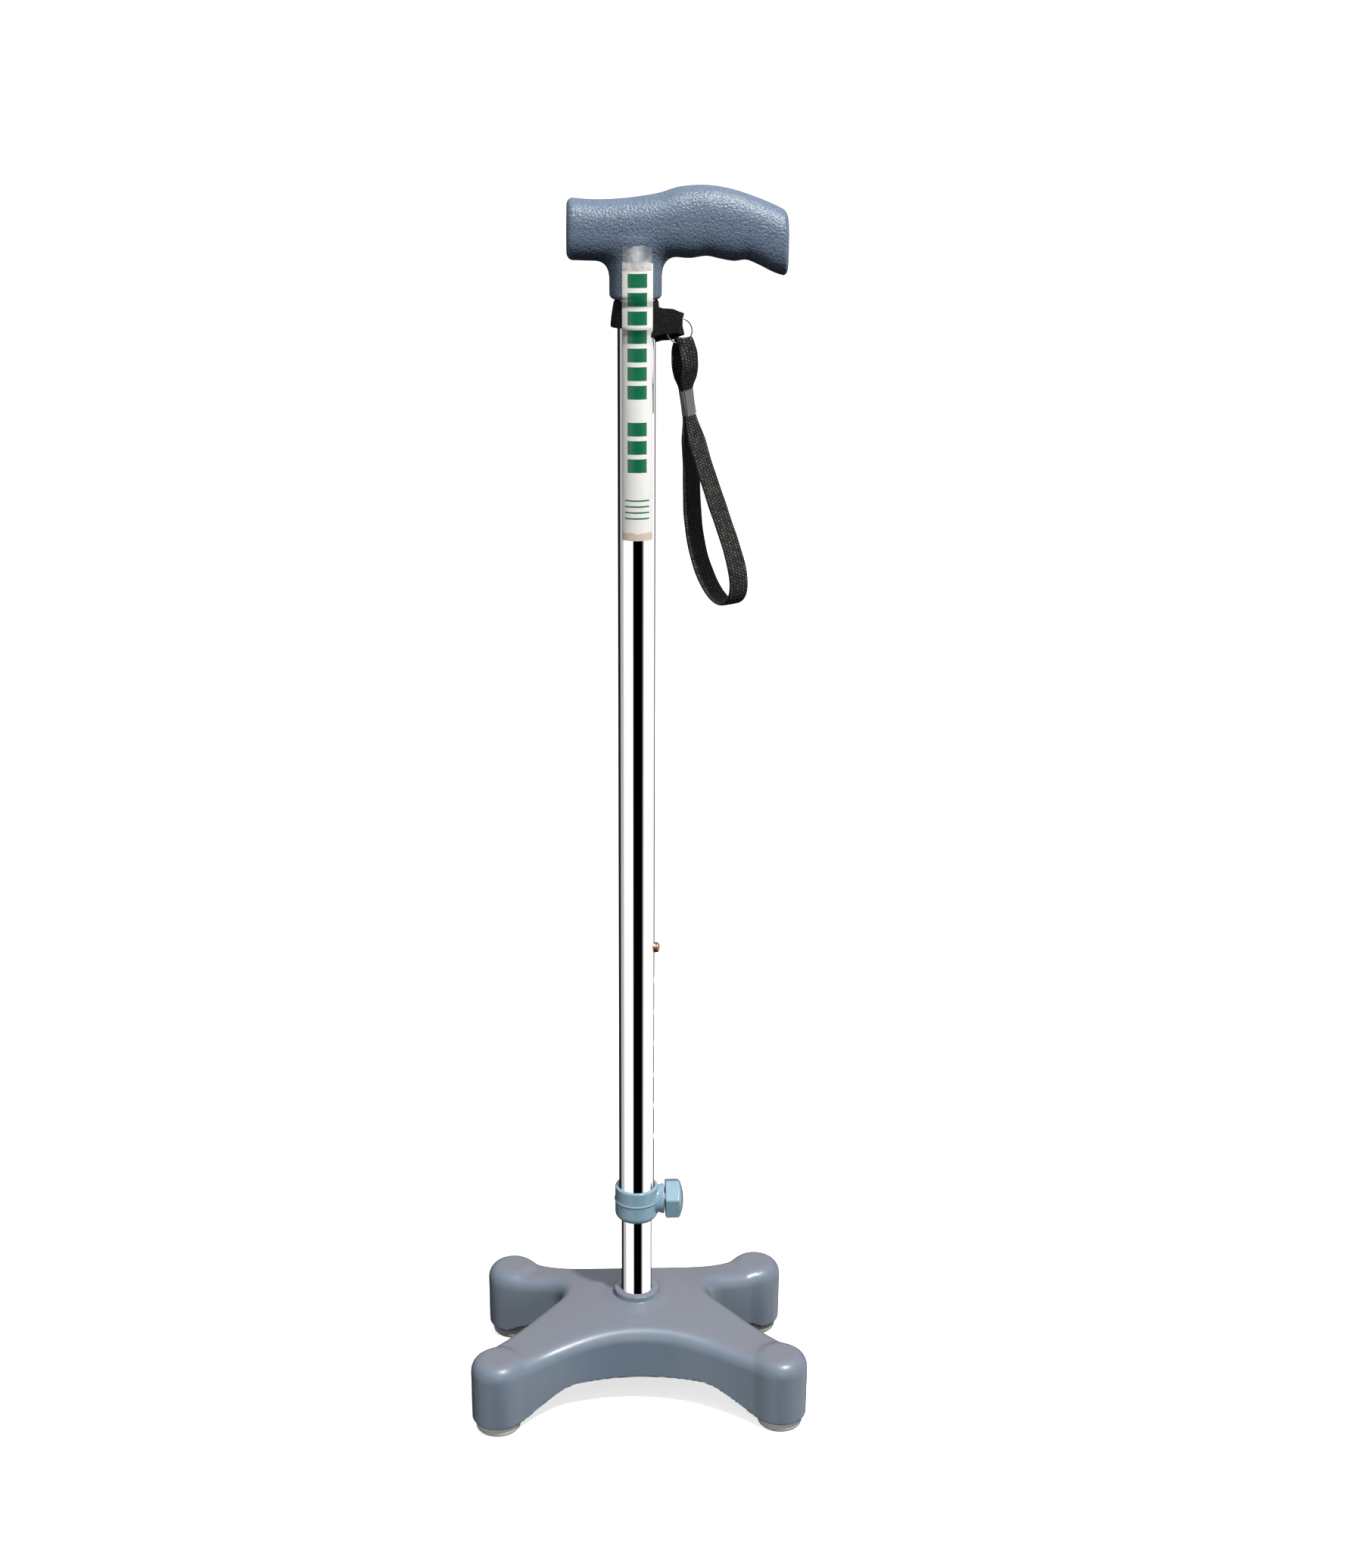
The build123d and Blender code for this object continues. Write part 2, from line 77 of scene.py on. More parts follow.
COLLAR_LOW, COLLAR_HIGH = span("collar")
KNOB_LOW, KNOB_HIGH = span("clamp_knob")
CLAMP_Z = (KNOB_LOW[2] + KNOB_HIGH[2]) / 2
BUTTON_LOW, BUTTON_HIGH = span("snap_button")
BUTTON_Z = (BUTTON_LOW[2] + BUTTON_HIGH[2]) / 2
GRIP_LOW, GRIP_HIGH = span("handle")
BAND_TOP = span("strap_band")[1][2]
RING_LOW, RING_HIGH = span("split_ring")
RING_CENTRE = (RING_LOW + RING_HIGH) / 2
LABEL_LOW, LABEL_HIGH = span("paper_label")
SCREW_LOW, SCREW_HIGH = span("handle_screw")
SCREW_Z = (SCREW_LOW[2] + SCREW_HIGH[2]) / 2


# ---- distance fields: negative inside, in millimetres ----
def blend(a, b, width):
    """Either of two shapes, with a soft blend of that width where they meet."""
    near = np.maximum(width - np.abs(a - b), 0) / width
    return np.minimum(a, b) - near * near * width / 4


def both(a, b, radius):
    """What two shapes share, with the edge between them rounded."""
    corner = np.hypot(np.maximum(a + radius, 0), np.maximum(b + radius, 0))
    return np.minimum(np.maximum(a, b), -radius) + corner


def cut(a, b, radius):
    """The first shape without the second, with the edge between them rounded."""
    return both(a, -b, radius)


def ease(value, start, end):
    """0 before start, 1 after end, and smooth between."""
    t = np.clip((value - start) / (end - start), 0, 1)
    return t * t * (3 - 2 * t)


def gradient(field, points):
    """The field's slope at each point."""
    reach = 0.02
    columns = []
    for axis in range(3):
        shift = np.zeros(3)
        shift[axis] = reach
        ahead = field(*(points + shift).T)
        behind = field(*(points - shift).T)
        columns.append((ahead - behind) / (2 * reach))
    return np.stack(columns, axis=1)


def surface_of(field, low, high, step):
    """The surface where a field is zero, as points, four-sided faces and normals.

    Each grid cell that the surface crosses gets one point, which is then moved on to the surface.
    """
    axes = [np.arange(a - 1.5 * step, b + 2.5 * step, step) for a, b in zip(low, high)]
    value = field(*np.meshgrid(*axes, indexing="ij", sparse=True))
    inside = value < 0
    cells = tuple(n - 1 for n in value.shape)
    total = np.zeros(cells + (3,))
    count = np.zeros(cells)
    crossed = {}
    for axis in range(3):
        ahead = tuple(slice(1, None) if i == axis else slice(None) for i in range(3))
        behind = tuple(slice(None, -1) if i == axis else slice(None) for i in range(3))
        flip = inside[ahead] != inside[behind]
        gap = np.where(flip, value[behind] - value[ahead], 1)
        t = np.where(flip, value[behind] / gap, 0)
        crossed[axis] = (flip, inside[behind])
        others = [i for i in range(3) if i != axis]
        for corner in itertools.product((0, 1), repeat=2):
            part = [slice(None)] * 3
            for i, c in zip(others, corner):
                part[i] = slice(c, c + cells[i])
            part = tuple(part)
            count += flip[part]
            total[..., axis] += np.where(flip[part], t[part], 0)
            for i, c in zip(others, corner):
                total[..., i] += np.where(flip[part], c, 0)
    used = count > 0
    number = np.full(cells, -1)
    number[used] = np.arange(used.sum())
    corner = np.stack(np.nonzero(used), axis=1)
    start = np.array([a[0] for a in axes])
    points = start + step * (corner + total[used] / count[used][:, None])
    faces = []
    for axis in range(3):
        flip, was_inside = crossed[axis]
        place = np.stack(np.nonzero(flip), axis=1)
        others = [i for i in range(3) if i != axis]
        keep = np.all([(place[:, i] > 0) & (place[:, i] < cells[i]) for i in others], axis=0)
        place = place[keep]
        ring = []
        for c, d in ((0, 0), (1, 0), (1, 1), (0, 1)):
            at = place.copy()
            at[:, others[0]] -= 1 - c
            at[:, others[1]] -= 1 - d
            ring.append(number[tuple(at.T)])
        quads = np.stack(ring, axis=1)
        turned = was_inside[tuple(place.T)] != (axis != 1)
        quads[turned] = quads[turned][:, ::-1]
        faces.append(quads)
    faces = np.concatenate(faces)
    for _ in range(4):
        slope = gradient(field, points)
        size = np.maximum((slope ** 2).sum(1), 0.05)
        move = slope * (field(*points.T) / size)[:, None]
        length = np.maximum(np.linalg.norm(move, axis=1), 1e-9)
        points = points - move * np.minimum(1, 0.5 * step / length)[:, None]
    normals = gradient(field, points)
    normals /= np.maximum(np.linalg.norm(normals, axis=1), 1e-9)[:, None]
    return points, faces, normals


# ---- making pieces ----
def make_piece(name, points, faces, material, normals=None, uv=None):
    """A smooth mesh object from points in millimetres; uv holds one pair for each point."""
    mesh = bpy.data.meshes.new(name)
    mesh.from_pydata((np.asarray(points) * MM).tolist(), [], [list(map(int, f)) for f in faces])
    mesh.polygons.foreach_set("use_smooth", [True] * len(mesh.polygons))
    if uv is not None:
        corner = np.zeros(len(mesh.loops), int)
        mesh.loops.foreach_get("vertex_index", corner)
        layer = mesh.uv_layers.new(name="along")
        layer.data.foreach_set("uv", np.asarray(uv)[corner].astype(np.float32).ravel())
    if normals is not None:
        mesh.normals_split_custom_set_from_vertices(np.asarray(normals).tolist())
    mesh.materials.append(material)
    made = bpy.data.objects.new(name, mesh)
    bpy.context.scene.collection.objects.link(made)
    return made


def make_surface(name, field, node, step, material):
    """A piece made from a distance field, sampled inside the CAD node's box."""
    points, faces, normals = surface_of(field, *span(node), step)
    return make_piece(name, points, faces, material, normals)


def sharpen(piece, degrees):
    """Edges that turn by more than this stay sharp."""
    piece.data.set_sharp_from_angle(angle=math.radians(degrees))


def belongs(piece, body, slot, *nodes):
    """The piece rides on a body and stands for these CAD nodes; the slot argument is not used."""
    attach(piece, body)
    if nodes:
        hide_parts(*nodes)
    return piece


def rings_to_faces(rings, around, closed_ends=False):
    """Faces between rings of points; with closed_ends the last ring joins the first."""
    faces = []
    for i in range(rings if closed_ends else rings - 1):
        for j in range(around):
            a, b = i * around + j, i * around + (j + 1) % around
            c, d = (i + 1) % rings * around + (j + 1) % around, (i + 1) % rings * around + j
            faces.append((a, b, c, d))
    return faces


def turned(profile, segments, centre=(0, 0), axis="z"):
    """Points and faces of a closed (radius, height) outline turned round an axis."""
    angles = np.linspace(0, 2 * math.pi, segments, endpoint=False)
    points = []
    for radius, height in profile:
        ring = np.stack([radius * np.cos(angles), radius * np.sin(angles),
                         np.full(segments, height)], axis=1)
        points.append(ring)
    points = np.concatenate(points)
    if axis == "x":
        points = points[:, [2, 0, 1]]
        points += (0, centre[0], centre[1])
    else:
        points += (centre[0], centre[1], 0)
    return points, rings_to_faces(len(profile), segments, closed_ends=True)


def curve_points(route):
    """Points along the NURBS spline whose control points are the route, in millimetres."""
    curve = bpy.data.curves.new("route", "CURVE")
    curve.dimensions = "3D"
    spline = curve.splines.new("NURBS")
    spline.points.add(len(route) - 1)
    for point, place in zip(spline.points, route):
        point.co = (*(Vector(place) * MM), 1)
    spline.order_u = 3
    spline.use_endpoint_u = True
    spline.resolution_u = 24
    holder = bpy.data.objects.new("route", curve)
    bpy.context.scene.collection.objects.link(holder)
    bpy.context.view_layer.update()
    line = bpy.data.meshes.new_from_object(holder)
    points = np.array([v.co for v in line.vertices]) / MM
    bpy.data.objects.remove(holder)
    bpy.data.meshes.remove(line)
    return points


def spaced(points, step):
    """The same line with its points evenly spaced, and how far along each one is."""
    along = np.concatenate([[0], np.cumsum(np.linalg.norm(np.diff(points, axis=0), axis=1))])
    places = np.linspace(0, along[-1], max(2, int(along[-1] / step) + 1))
    return np.stack([np.interp(places, along, points[:, i]) for i in range(3)], axis=1), places


def square_to(ahead, side):
    """The direction nearest to side that is square to ahead."""
    side = side - ahead * (side @ ahead)
    return side / np.linalg.norm(side)


def swept(path, side, section_at):
    """A strip or wire along a path: points, faces and uv, closed at both ends.

    side gives each path point's width direction, and section_at(i) the section there as
    (across, out) points. The uv is in millimetres: round the section, then along the path.
    """
    ahead = np.gradient(path, axis=0)
    ahead /= np.linalg.norm(ahead, axis=1)[:, None]
    side = side - ahead * (side * ahead).sum(1)[:, None]
    side /= np.linalg.norm(side, axis=1)[:, None]
    out = np.cross(side, ahead)
    along = np.concatenate([[0], np.cumsum(np.linalg.norm(np.diff(path, axis=0), axis=1))])
    points, uv = [], []
    for i, centre in enumerate(path):
        section = section_at(i)
        points.append(centre + section[:, :1] * side[i] + section[:, 1:] * out[i])
        uv.append(np.stack([section[:, 0], np.full(len(section), along[i])], axis=1))
    around = len(points[0])
    faces = rings_to_faces(len(path), around)
    last = (len(path) - 1) * around
    faces = [tuple(reversed(f)) for f in faces]
    faces.append(tuple(range(around)))
    faces.append(tuple(reversed(range(last, last + around))))
    return np.concatenate(points), faces, np.concatenate(uv)


# ---- materials ----
def material_with(name, **sockets):
    """A new material; each constant is set on the shader's own socket."""
    made = bpy.data.materials.new(name)
    made.use_nodes = True
    shader = made.node_tree.nodes["Principled BSDF"]
    for socket, value in sockets.items():
        shader.inputs[socket.replace("_", " ")].default_value = value
    return made


def add(tree, kind, inputs=None, **settings):
    """A node in a tree; inputs are constants or the sockets that feed it."""
    made = tree.nodes.new("ShaderNode" + kind)
    for key, value in settings.items():
        setattr(made, key, value)
    for socket, value in (inputs or {}).items():
        if isinstance(value, bpy.types.NodeSocket):
            tree.links.new(value, made.inputs[socket])
        else:
            made.inputs[socket].default_value = value
    return made


def feed(material, socket, value):
    """Joins an output to one of the shader's sockets."""
    shader = material.node_tree.nodes["Principled BSDF"]
    material.node_tree.links.new(value, shader.inputs[socket])


def place(tree, stretch=(1, 1, 1)):
    """Where a shading point is, with each axis stretched."""
    spot = add(tree, "TexCoord").outputs["Object"]
    return add(tree, "Mapping", {"Vector": spot, "Scale": stretch}).outputs[0]


def noise(tree, scale, detail=3.0, rough=0.5, vector=None):
    """A noise value from 0 to 1; scale is in features per metre."""
    if vector is None:
        vector = place(tree)
    inputs = {"Vector": vector, "Scale": scale, "Detail": detail, "Roughness": rough}
    return add(tree, "TexNoise", inputs).outputs["Fac"]


def remap(tree, value, low, high, new_low=0.0, new_high=1.0):
    """A value moved from one range to another, and kept inside it."""
    inputs = {"Value": value, "From Min": low, "From Max": high,
              "To Min": new_low, "To Max": new_high}
    return add(tree, "MapRange", inputs).outputs[0]


def math_of(tree, operation, a, b=0.0, c=0.0):
    """The result of a maths node."""
    return add(tree, "Math", {0: a, 1: b, 2: c}, operation=operation).outputs[0]


def mixed(tree, amount, first, second):
    """Two colours mixed by an amount."""
    made = add(tree, "Mix", data_type="RGBA")
    for socket, value in ((made.inputs[0], amount), (made.inputs[6], first), (made.inputs[7], second)):
        if isinstance(value, bpy.types.NodeSocket):
            tree.links.new(value, socket)
        else:
            socket.default_value = value
    return made.outputs[2]


def bumped(tree, height, depth, strength=1.0, under=None):
    """A normal roughened by a height from 0 to 1; depth is in millimetres."""
    inputs = {"Height": height, "Distance": depth * MM, "Strength": strength}
    if under is not None:
        inputs["Normal"] = under
    return add(tree, "Bump", inputs).outputs[0]


def shade(color, factor):
    """A colour made lighter or darker, as four numbers."""
    return (*(min(1.0, c * factor) for c in color[:3]), 1.0)


def moulded_plastic(name, color, roughness, peel=0.02, scuffs=0.35, dust_and_top_light=None):
    """Satin moulded plastic: faint mottling, orange peel, and pale scuffs that gather in patches.

    The last argument, if given, is the colour of painted warm light from above, laid on the faces that look
    up.
    """
    made = material_with(name, Specular_IOR_Level=0.55)
    tree = made.node_tree
    mottle = noise(tree, 22, 4, 0.6)
    body = mixed(tree, remap(tree, mottle, 0.3, 0.7), shade(color, 0.94), shade(color, 1.06))
    # painted light: a warm tint of light from above on the faces that look up, patchy with the mottling
    if dust_and_top_light:
        upward = add(tree, "SeparateXYZ", {0: add(tree, "NewGeometry").outputs["Normal"]}).outputs["Z"]
        top_light_share = remap(tree, upward, 0.75, 0.99, 0.0, 0.6)
        top_light_share = math_of(tree, "MULTIPLY", top_light_share, remap(tree, mottle, 0.25, 0.6, 0.6, 1.0))
        body = mixed(tree, top_light_share, body, dust_and_top_light)
    scratch = noise(tree, 130, 5, 0.7, place(tree, (1, 1, 4)))
    patch = remap(tree, noise(tree, 26, 2, 0.5), 0.52, 0.68)
    worn = math_of(tree, "MULTIPLY", remap(tree, scratch, 0.58, 0.72), patch)
    worn = math_of(tree, "MULTIPLY", worn, scuffs)
    feed(made, "Base Color", mixed(tree, worn, body, shade(color, 1.9)))
    gloss = remap(tree, noise(tree, 60, 3), 0.3, 0.7, roughness - 0.04, roughness + 0.05)
    feed(made, "Roughness", math_of(tree, "MULTIPLY_ADD", worn, 0.35, gloss))
    fine = bumped(tree, noise(tree, 700, 3, 0.5), peel)
    feed(made, "Normal", bumped(tree, noise(tree, 45, 2), 0.25, 0.35, fine))
    return made


def leather_grain_plastic(name, color, pits=()):
    """Plastic moulded with a fine pebbled leather grain, with painted shade in its hollows and a painted
    highlight on its crests.

    pits are the places, in millimetres, of small pinholes, drawn only as dots of painted shade.
    """
    made = material_with(name, Specular_IOR_Level=0.75)
    tree = made.node_tree
    spot = place(tree)
    wander = add(tree, "TexNoise", {"Vector": spot, "Scale": 420.0, "Detail": 2.0}).outputs["Color"]
    pulled = add(tree, "VectorMath", {0: wander, 1: (0.5, 0.5, 0.5)}, operation="SUBTRACT")
    pulled = add(tree, "VectorMath", {0: pulled.outputs[0], "Scale": 0.0011}, operation="SCALE")
    spot = add(tree, "VectorMath", {0: spot, 1: pulled.outputs[0]}, operation="ADD").outputs[0]
    cells = add(tree, "TexVoronoi", {"Vector": spot, "Scale": 900.0},
                feature="SMOOTH_F1").outputs["Distance"]
    pebble = remap(tree, cells, 0.1, 0.75, 1.0, 0.0)
    body = mixed(tree, noise(tree, 30, 4, 0.6), shade(color, 0.92), shade(color, 1.12))
    # painted light: the grain's hollows darkened as shade, its crests lightened as a highlight
    body = mixed(tree, pebble, shade(color, 0.62), shade(color, 1.15))
    # painted shade: each pinhole is a near-black dot, with no hole in the surface
    for pit in pits:
        away = add(tree, "VectorMath", {0: place(tree), 1: tuple(v * MM for v in pit)},
                   operation="DISTANCE").outputs["Value"]
        pit_shade = remap(tree, away, 0.35 * MM, 0.5 * MM, 1.0, 0.0)
        body = mixed(tree, pit_shade, body, (0.004, 0.005, 0.006, 1))
    feed(made, "Base Color", body)
    feed(made, "Roughness", remap(tree, pebble, 0, 1, 0.56, 0.42))
    fine = bumped(tree, noise(tree, 2600, 2), 0.03)
    feed(made, "Normal", bumped(tree, pebble, 0.34, 0.75, fine))
    return made


def polished_metal(name, color, roughness, haze, grain=0.0):
    """Bright metal with a faint haze, and fine drawn lines where grain is above 0."""
    made = material_with(name, Metallic=1.0)
    tree = made.node_tree
    cloud = noise(tree, 35, 4, 0.6)
    feed(made, "Base Color", mixed(tree, cloud, shade(color, 0.97), shade(color, 1.0)))
    spots = remap(tree, noise(tree, 300, 5, 0.7), 0.6, 0.8, 0, haze)
    gloss = remap(tree, cloud, 0.35, 0.75, roughness, roughness + haze)
    feed(made, "Roughness", math_of(tree, "ADD", gloss, spots))
    if grain:
        lines = noise(tree, 2500, 2, 0.5, place(tree, (1, 1, 0.02)))
        feed(made, "Normal", bumped(tree, lines, grain))
    return made


def worn_metal(name, color, dark, roughness):
    """Plated metal, darker in patches, with small pits."""
    made = material_with(name, Metallic=1.0)
    tree = made.node_tree
    patch = remap(tree, noise(tree, 240, 5, 0.7), 0.42, 0.62)
    feed(made, "Base Color", mixed(tree, patch, shade(color, 1), shade(dark, 1)))
    feed(made, "Roughness", remap(tree, patch, 0, 1, roughness, roughness + 0.25))
    feed(made, "Normal", bumped(tree, noise(tree, 1500, 4, 0.6), 0.04))
    return made


def rubber(name, color):
    """Pale grey rubber, dusty and a little stained towards the floor."""
    made = material_with(name, Specular_IOR_Level=0.35)
    tree = made.node_tree
    dust_and_top_light = noise(tree, 90, 5, 0.65)
    body = mixed(tree, dust_and_top_light, shade(color, 0.85), shade(color, 1.1))
    height = add(tree, "SeparateXYZ", {0: place(tree)}).outputs["Z"]
    low = remap(tree, height, 0.0, 0.003, 1.0, 0.0)
    stain = math_of(tree, "MULTIPLY", low, remap(tree, noise(tree, 160, 4), 0.35, 0.7))
    feed(made, "Base Color", mixed(tree, stain, body, shade((0.30, 0.25, 0.19), 1)))
    feed(made, "Roughness", remap(tree, dust_and_top_light, 0.3, 0.7, 0.62, 0.85))
    feed(made, "Normal", bumped(tree, noise(tree, 1400, 3, 0.6), 0.06))
    return made


def webbing(name, thread, glint_colour, row=2.0, stitch=1.8):
    """Black tubular braid: lengthwise rows of stitches, with painted shade in the gaps between them and a
    fine painted highlight on each.
    """
    made = material_with(name, Specular_IOR_Level=0.12)
    tree = made.node_tree
    flat = add(tree, "SeparateXYZ", {0: add(tree, "TexCoord").outputs["UV"]})
    turned_uv = add(tree, "CombineXYZ", {"X": flat.outputs["Y"], "Y": flat.outputs["X"]}).outputs[0]
    bricks = add(tree, "TexBrick", {
        "Vector": turned_uv, "Scale": 1.0, "Mortar Size": 0.35, "Mortar Smooth": 1.0,
        "Brick Width": stitch, "Row Height": row, "Color1": (0, 0, 0, 1), "Color2": (1, 1, 1, 1),
        "Mortar": (0, 0, 0, 1)}, offset=0.5)
    height = math_of(tree, "SUBTRACT", 1.0, bricks.outputs["Fac"])
    fibres = add(tree, "TexNoise", {"Vector": turned_uv, "Scale": 3.0, "Detail": 3.0}).outputs["Fac"]
    picked = add(tree, "SeparateColor", {0: bricks.outputs["Color"]}).outputs["Red"]
    # painted highlight: a pale glint on the crown of the stitches
    glint = math_of(tree, "MULTIPLY", remap(tree, picked, 0.0, 1.0, 0.3, 1.0), remap(tree, fibres, 0.35, 0.6))
    glint = math_of(tree, "MULTIPLY", glint, math_of(tree, "POWER", height, 5.0))
    # painted shade: the gaps between the stitches are darkened
    body = mixed(tree, height, shade(thread, 0.35), thread)
    feed(made, "Base Color", mixed(tree, glint, body, glint_colour))
    feed(made, "Roughness", remap(tree, fibres, 0.3, 0.7, 0.6, 0.85))
    fuzz = bumped(tree, fibres, 0.05)
    feed(made, "Normal", bumped(tree, height, 0.22, 1.0, fuzz))
    return made


def between(tree, value, low, high):
    """1 where a value, in metres, lies between two numbers in millimetres, and 0 elsewhere."""
    middle, half = (low + high) / 2 * MM, abs(high - low) / 2 * MM
    return math_of(tree, "COMPARE", value, middle, half)


def printed_paper(name, paper, ink, bars, lines, half_w):
    """White paper with plain bars across it and thin lines below them, yellowed at the foot."""
    made = material_with(name, Specular_IOR_Level=0.5, Coat_Weight=0.35, Coat_Roughness=0.18)
    tree = made.node_tree
    at = add(tree, "SeparateXYZ", {0: place(tree)}).outputs
    printed = None
    for low, high in bars:
        bar = between(tree, at["Z"], low, high)
        printed = bar if printed is None else math_of(tree, "MAXIMUM", printed, bar)
    printed = math_of(tree, "MULTIPLY", printed, between(tree, at["X"], -half_w, half_w))
    thin = None
    for z in lines:
        line = between(tree, at["Z"], z - 0.45, z + 0.45)
        thin = line if thin is None else math_of(tree, "MAXIMUM", thin, line)
    thin = math_of(tree, "MULTIPLY", thin, between(tree, at["X"], -half_w - 1.5, half_w + 1.5))
    printed = math_of(tree, "MAXIMUM", printed, thin)
    uneven = remap(tree, noise(tree, 1500, 3), 0.1, 0.3)
    printed = math_of(tree, "MULTIPLY", printed, uneven)
    soil = remap(tree, noise(tree, 70, 5, 0.7), 0.55, 0.8, 0.0, 0.35)
    body = mixed(tree, soil, paper, (0.62, 0.60, 0.54, 1))
    edge = math_of(tree, "MULTIPLY", noise(tree, 260, 3), 0.003)
    foot = math_of(tree, "SUBTRACT", at["Z"], edge)
    aged = remap(tree, foot, (LABEL_LOW[2] + 3.2) * MM, (LABEL_LOW[2] + 3.6) * MM, 1.0, 0.0)
    body = mixed(tree, aged, body, (0.60, 0.53, 0.43, 1))
    cream = remap(tree, at["Z"], (LABEL_HIGH[2] - 3.0) * MM, (LABEL_HIGH[2] - 1.5) * MM, 0.0, 0.8)
    body = mixed(tree, cream, body, (0.80, 0.75, 0.66, 1))
    feed(made, "Base Color", mixed(tree, printed, body, ink))
    feed(made, "Roughness", remap(tree, noise(tree, 120, 3), 0.3, 0.7, 0.35, 0.5))
    feed(made, "Normal", bumped(tree, noise(tree, 110, 3), 0.12))
    return made


def clear_tape(name):
    """A scrap of clear tape, cloudy where it has lifted."""
    made = material_with(name, Specular_IOR_Level=0.7)
    tree = made.node_tree
    cloud = noise(tree, 190, 4, 0.6)
    feed(made, "Base Color", mixed(tree, cloud, (0.42, 0.47, 0.50, 1), (0.80, 0.81, 0.80, 1)))
    across = add(tree, "SeparateXYZ", {0: place(tree)}).outputs["X"]
    middle = remap(tree, math_of(tree, "ABSOLUTE", across), 0.0, 4.5 * MM, 0.55, 0.0)
    lifted = remap(tree, cloud, 0.45, 0.75, 0.10, 0.5)
    feed(made, "Alpha", math_of(tree, "ADD", lifted, middle))
    feed(made, "Roughness", remap(tree, cloud, 0.3, 0.7, 0.12, 0.3))
    feed(made, "Normal", bumped(tree, noise(tree, 330, 2), 0.2))
    return made


BASE_COLOR = (0.135, 0.170, 0.214)
GRIP_COLOR = (0.094, 0.138, 0.205)
CLAMP_COLOR = (0.185, 0.295, 0.36)
# the base's upward faces get a painted warm top light
BASE_PLASTIC = moulded_plastic("base_plastic", BASE_COLOR, 0.34, scuffs=0.15,
                               dust_and_top_light=(0.135, 0.125, 0.138, 1))
CLAMP_PLASTIC = moulded_plastic("clamp_plastic", CLAMP_COLOR, 0.2, peel=0.01, scuffs=0.15)
GRIP_PLASTIC = leather_grain_plastic("grip_plastic", GRIP_COLOR, [
    (-9.0, -14.0, 734.5), (-10.4, -14.0, 733.2), (-3.2, -14.6, 729.6), (-6.8, -14.4, 730.4)])
CHROME = polished_metal("chrome", (0.97, 0.97, 0.975), 0.012, haze=0.014)
RUBBER = rubber("foot_rubber", (0.56, 0.56, 0.52))
ZINC = polished_metal("zinc_plate", (0.66, 0.67, 0.66), 0.28, haze=0.12, grain=0.01)
SPRING_STEEL = polished_metal("spring_steel", (0.32, 0.33, 0.36), 0.3, haze=0.1, grain=0.01)
NYLON = moulded_plastic("nylon", (0.68, 0.67, 0.61), 0.42, scuffs=0.1)
BUTTON_METAL = worn_metal("button_metal", (0.62, 0.43, 0.32), (0.22, 0.13, 0.10), 0.25)
RING_STEEL = polished_metal("ring_steel", (0.40, 0.35, 0.33), 0.2, haze=0.1, grain=0.01)
CRIMP_STEEL = polished_metal("crimp_steel", (0.18, 0.182, 0.188), 0.2, haze=0.1, grain=0.02)
# the last colour of each webbing is its painted glint
WEBBING = webbing("strap_webbing", (0.0025, 0.0025, 0.0025, 1), (0.11, 0.106, 0.10, 1))
ELASTIC = webbing("elastic_webbing", (0.0025, 0.0025, 0.0025, 1), (0.05, 0.05, 0.05, 1), 1.3, 1.3)
LABEL_BARS = [(694.4 - 10.6 * i, 702.3 - 10.6 * i) for i in range(11) if i != 7]
LABEL_LINES = [572.0, 568.5, 565.0, 561.5]
PAPER = printed_paper("label_paper", (0.80, 0.80, 0.78, 1), (0.0, 0.13, 0.055, 1),
                      LABEL_BARS, LABEL_LINES, 5.5)
TAPE = clear_tape("clear_tape")

# ---- camera, floor and light ----
CAMERA_PLACE = Vector((-0.0386, -1.2994, 0.838))
CAMERA_PITCH = 14.82
CAMERA_YAW = -1.7
CAMERA_LENS = 52.44
CAMERA_SHIFT = (0.0239, -0.10)


def make_camera():
    lens = bpy.data.cameras.new("camera")
    lens.sensor_width = 36.0
    lens.lens = CAMERA_LENS
    lens.shift_x, lens.shift_y = CAMERA_SHIFT
    made = bpy.data.objects.new("camera", lens)
    made.location = CAMERA_PLACE
    made.rotation_euler = (math.radians(90 - CAMERA_PITCH), 0, math.radians(CAMERA_YAW))
    bpy.context.scene.collection.objects.link(made)
    bpy.context.scene.camera = made


def make_floor():
    """A pale floor that the bright parts and the lit undersides don't pick up."""
    reach, cells = 12000.0, 24
    line = np.linspace(-reach, reach, cells + 1)
    grid = np.array([(x, y, 0.0) for x in line for y in line])
    row = cells + 1
    faces = [(i * row + j, (i + 1) * row + j, (i + 1) * row + j + 1, i * row + j + 1)
             for i in range(cells) for j in range(cells)]
    pale = material_with("floor", Base_Color=(0.96, 0.92, 0.86, 1), Roughness=0.9,
                         Specular_IOR_Level=0.0, Emission_Color=(1, 1, 1, 1),
                         Emission_Strength=0.62)
    floor = make_piece("floor", grid, faces, pale)
    floor.visible_glossy = False
    floor.visible_diffuse = False


def make_lamp(name, place_at, aim_at, energy, size, angle, color):
    """A round soft lamp pointed at a place."""
    lamp = bpy.data.lights.new(name, "SPOT")
    lamp.energy = energy
    lamp.color = color
    lamp.shadow_soft_size = size
    lamp.spot_size = math.radians(angle)
    lamp.spot_blend = 0.6
    made = bpy.data.objects.new(name, lamp)
    made.location = place_at
    aim = Vector(aim_at) - made.location
    made.rotation_mode = "QUATERNION"
    made.rotation_quaternion = aim.to_track_quat("-Z", "Y")
    bpy.context.scene.collection.objects.link(made)
    return made


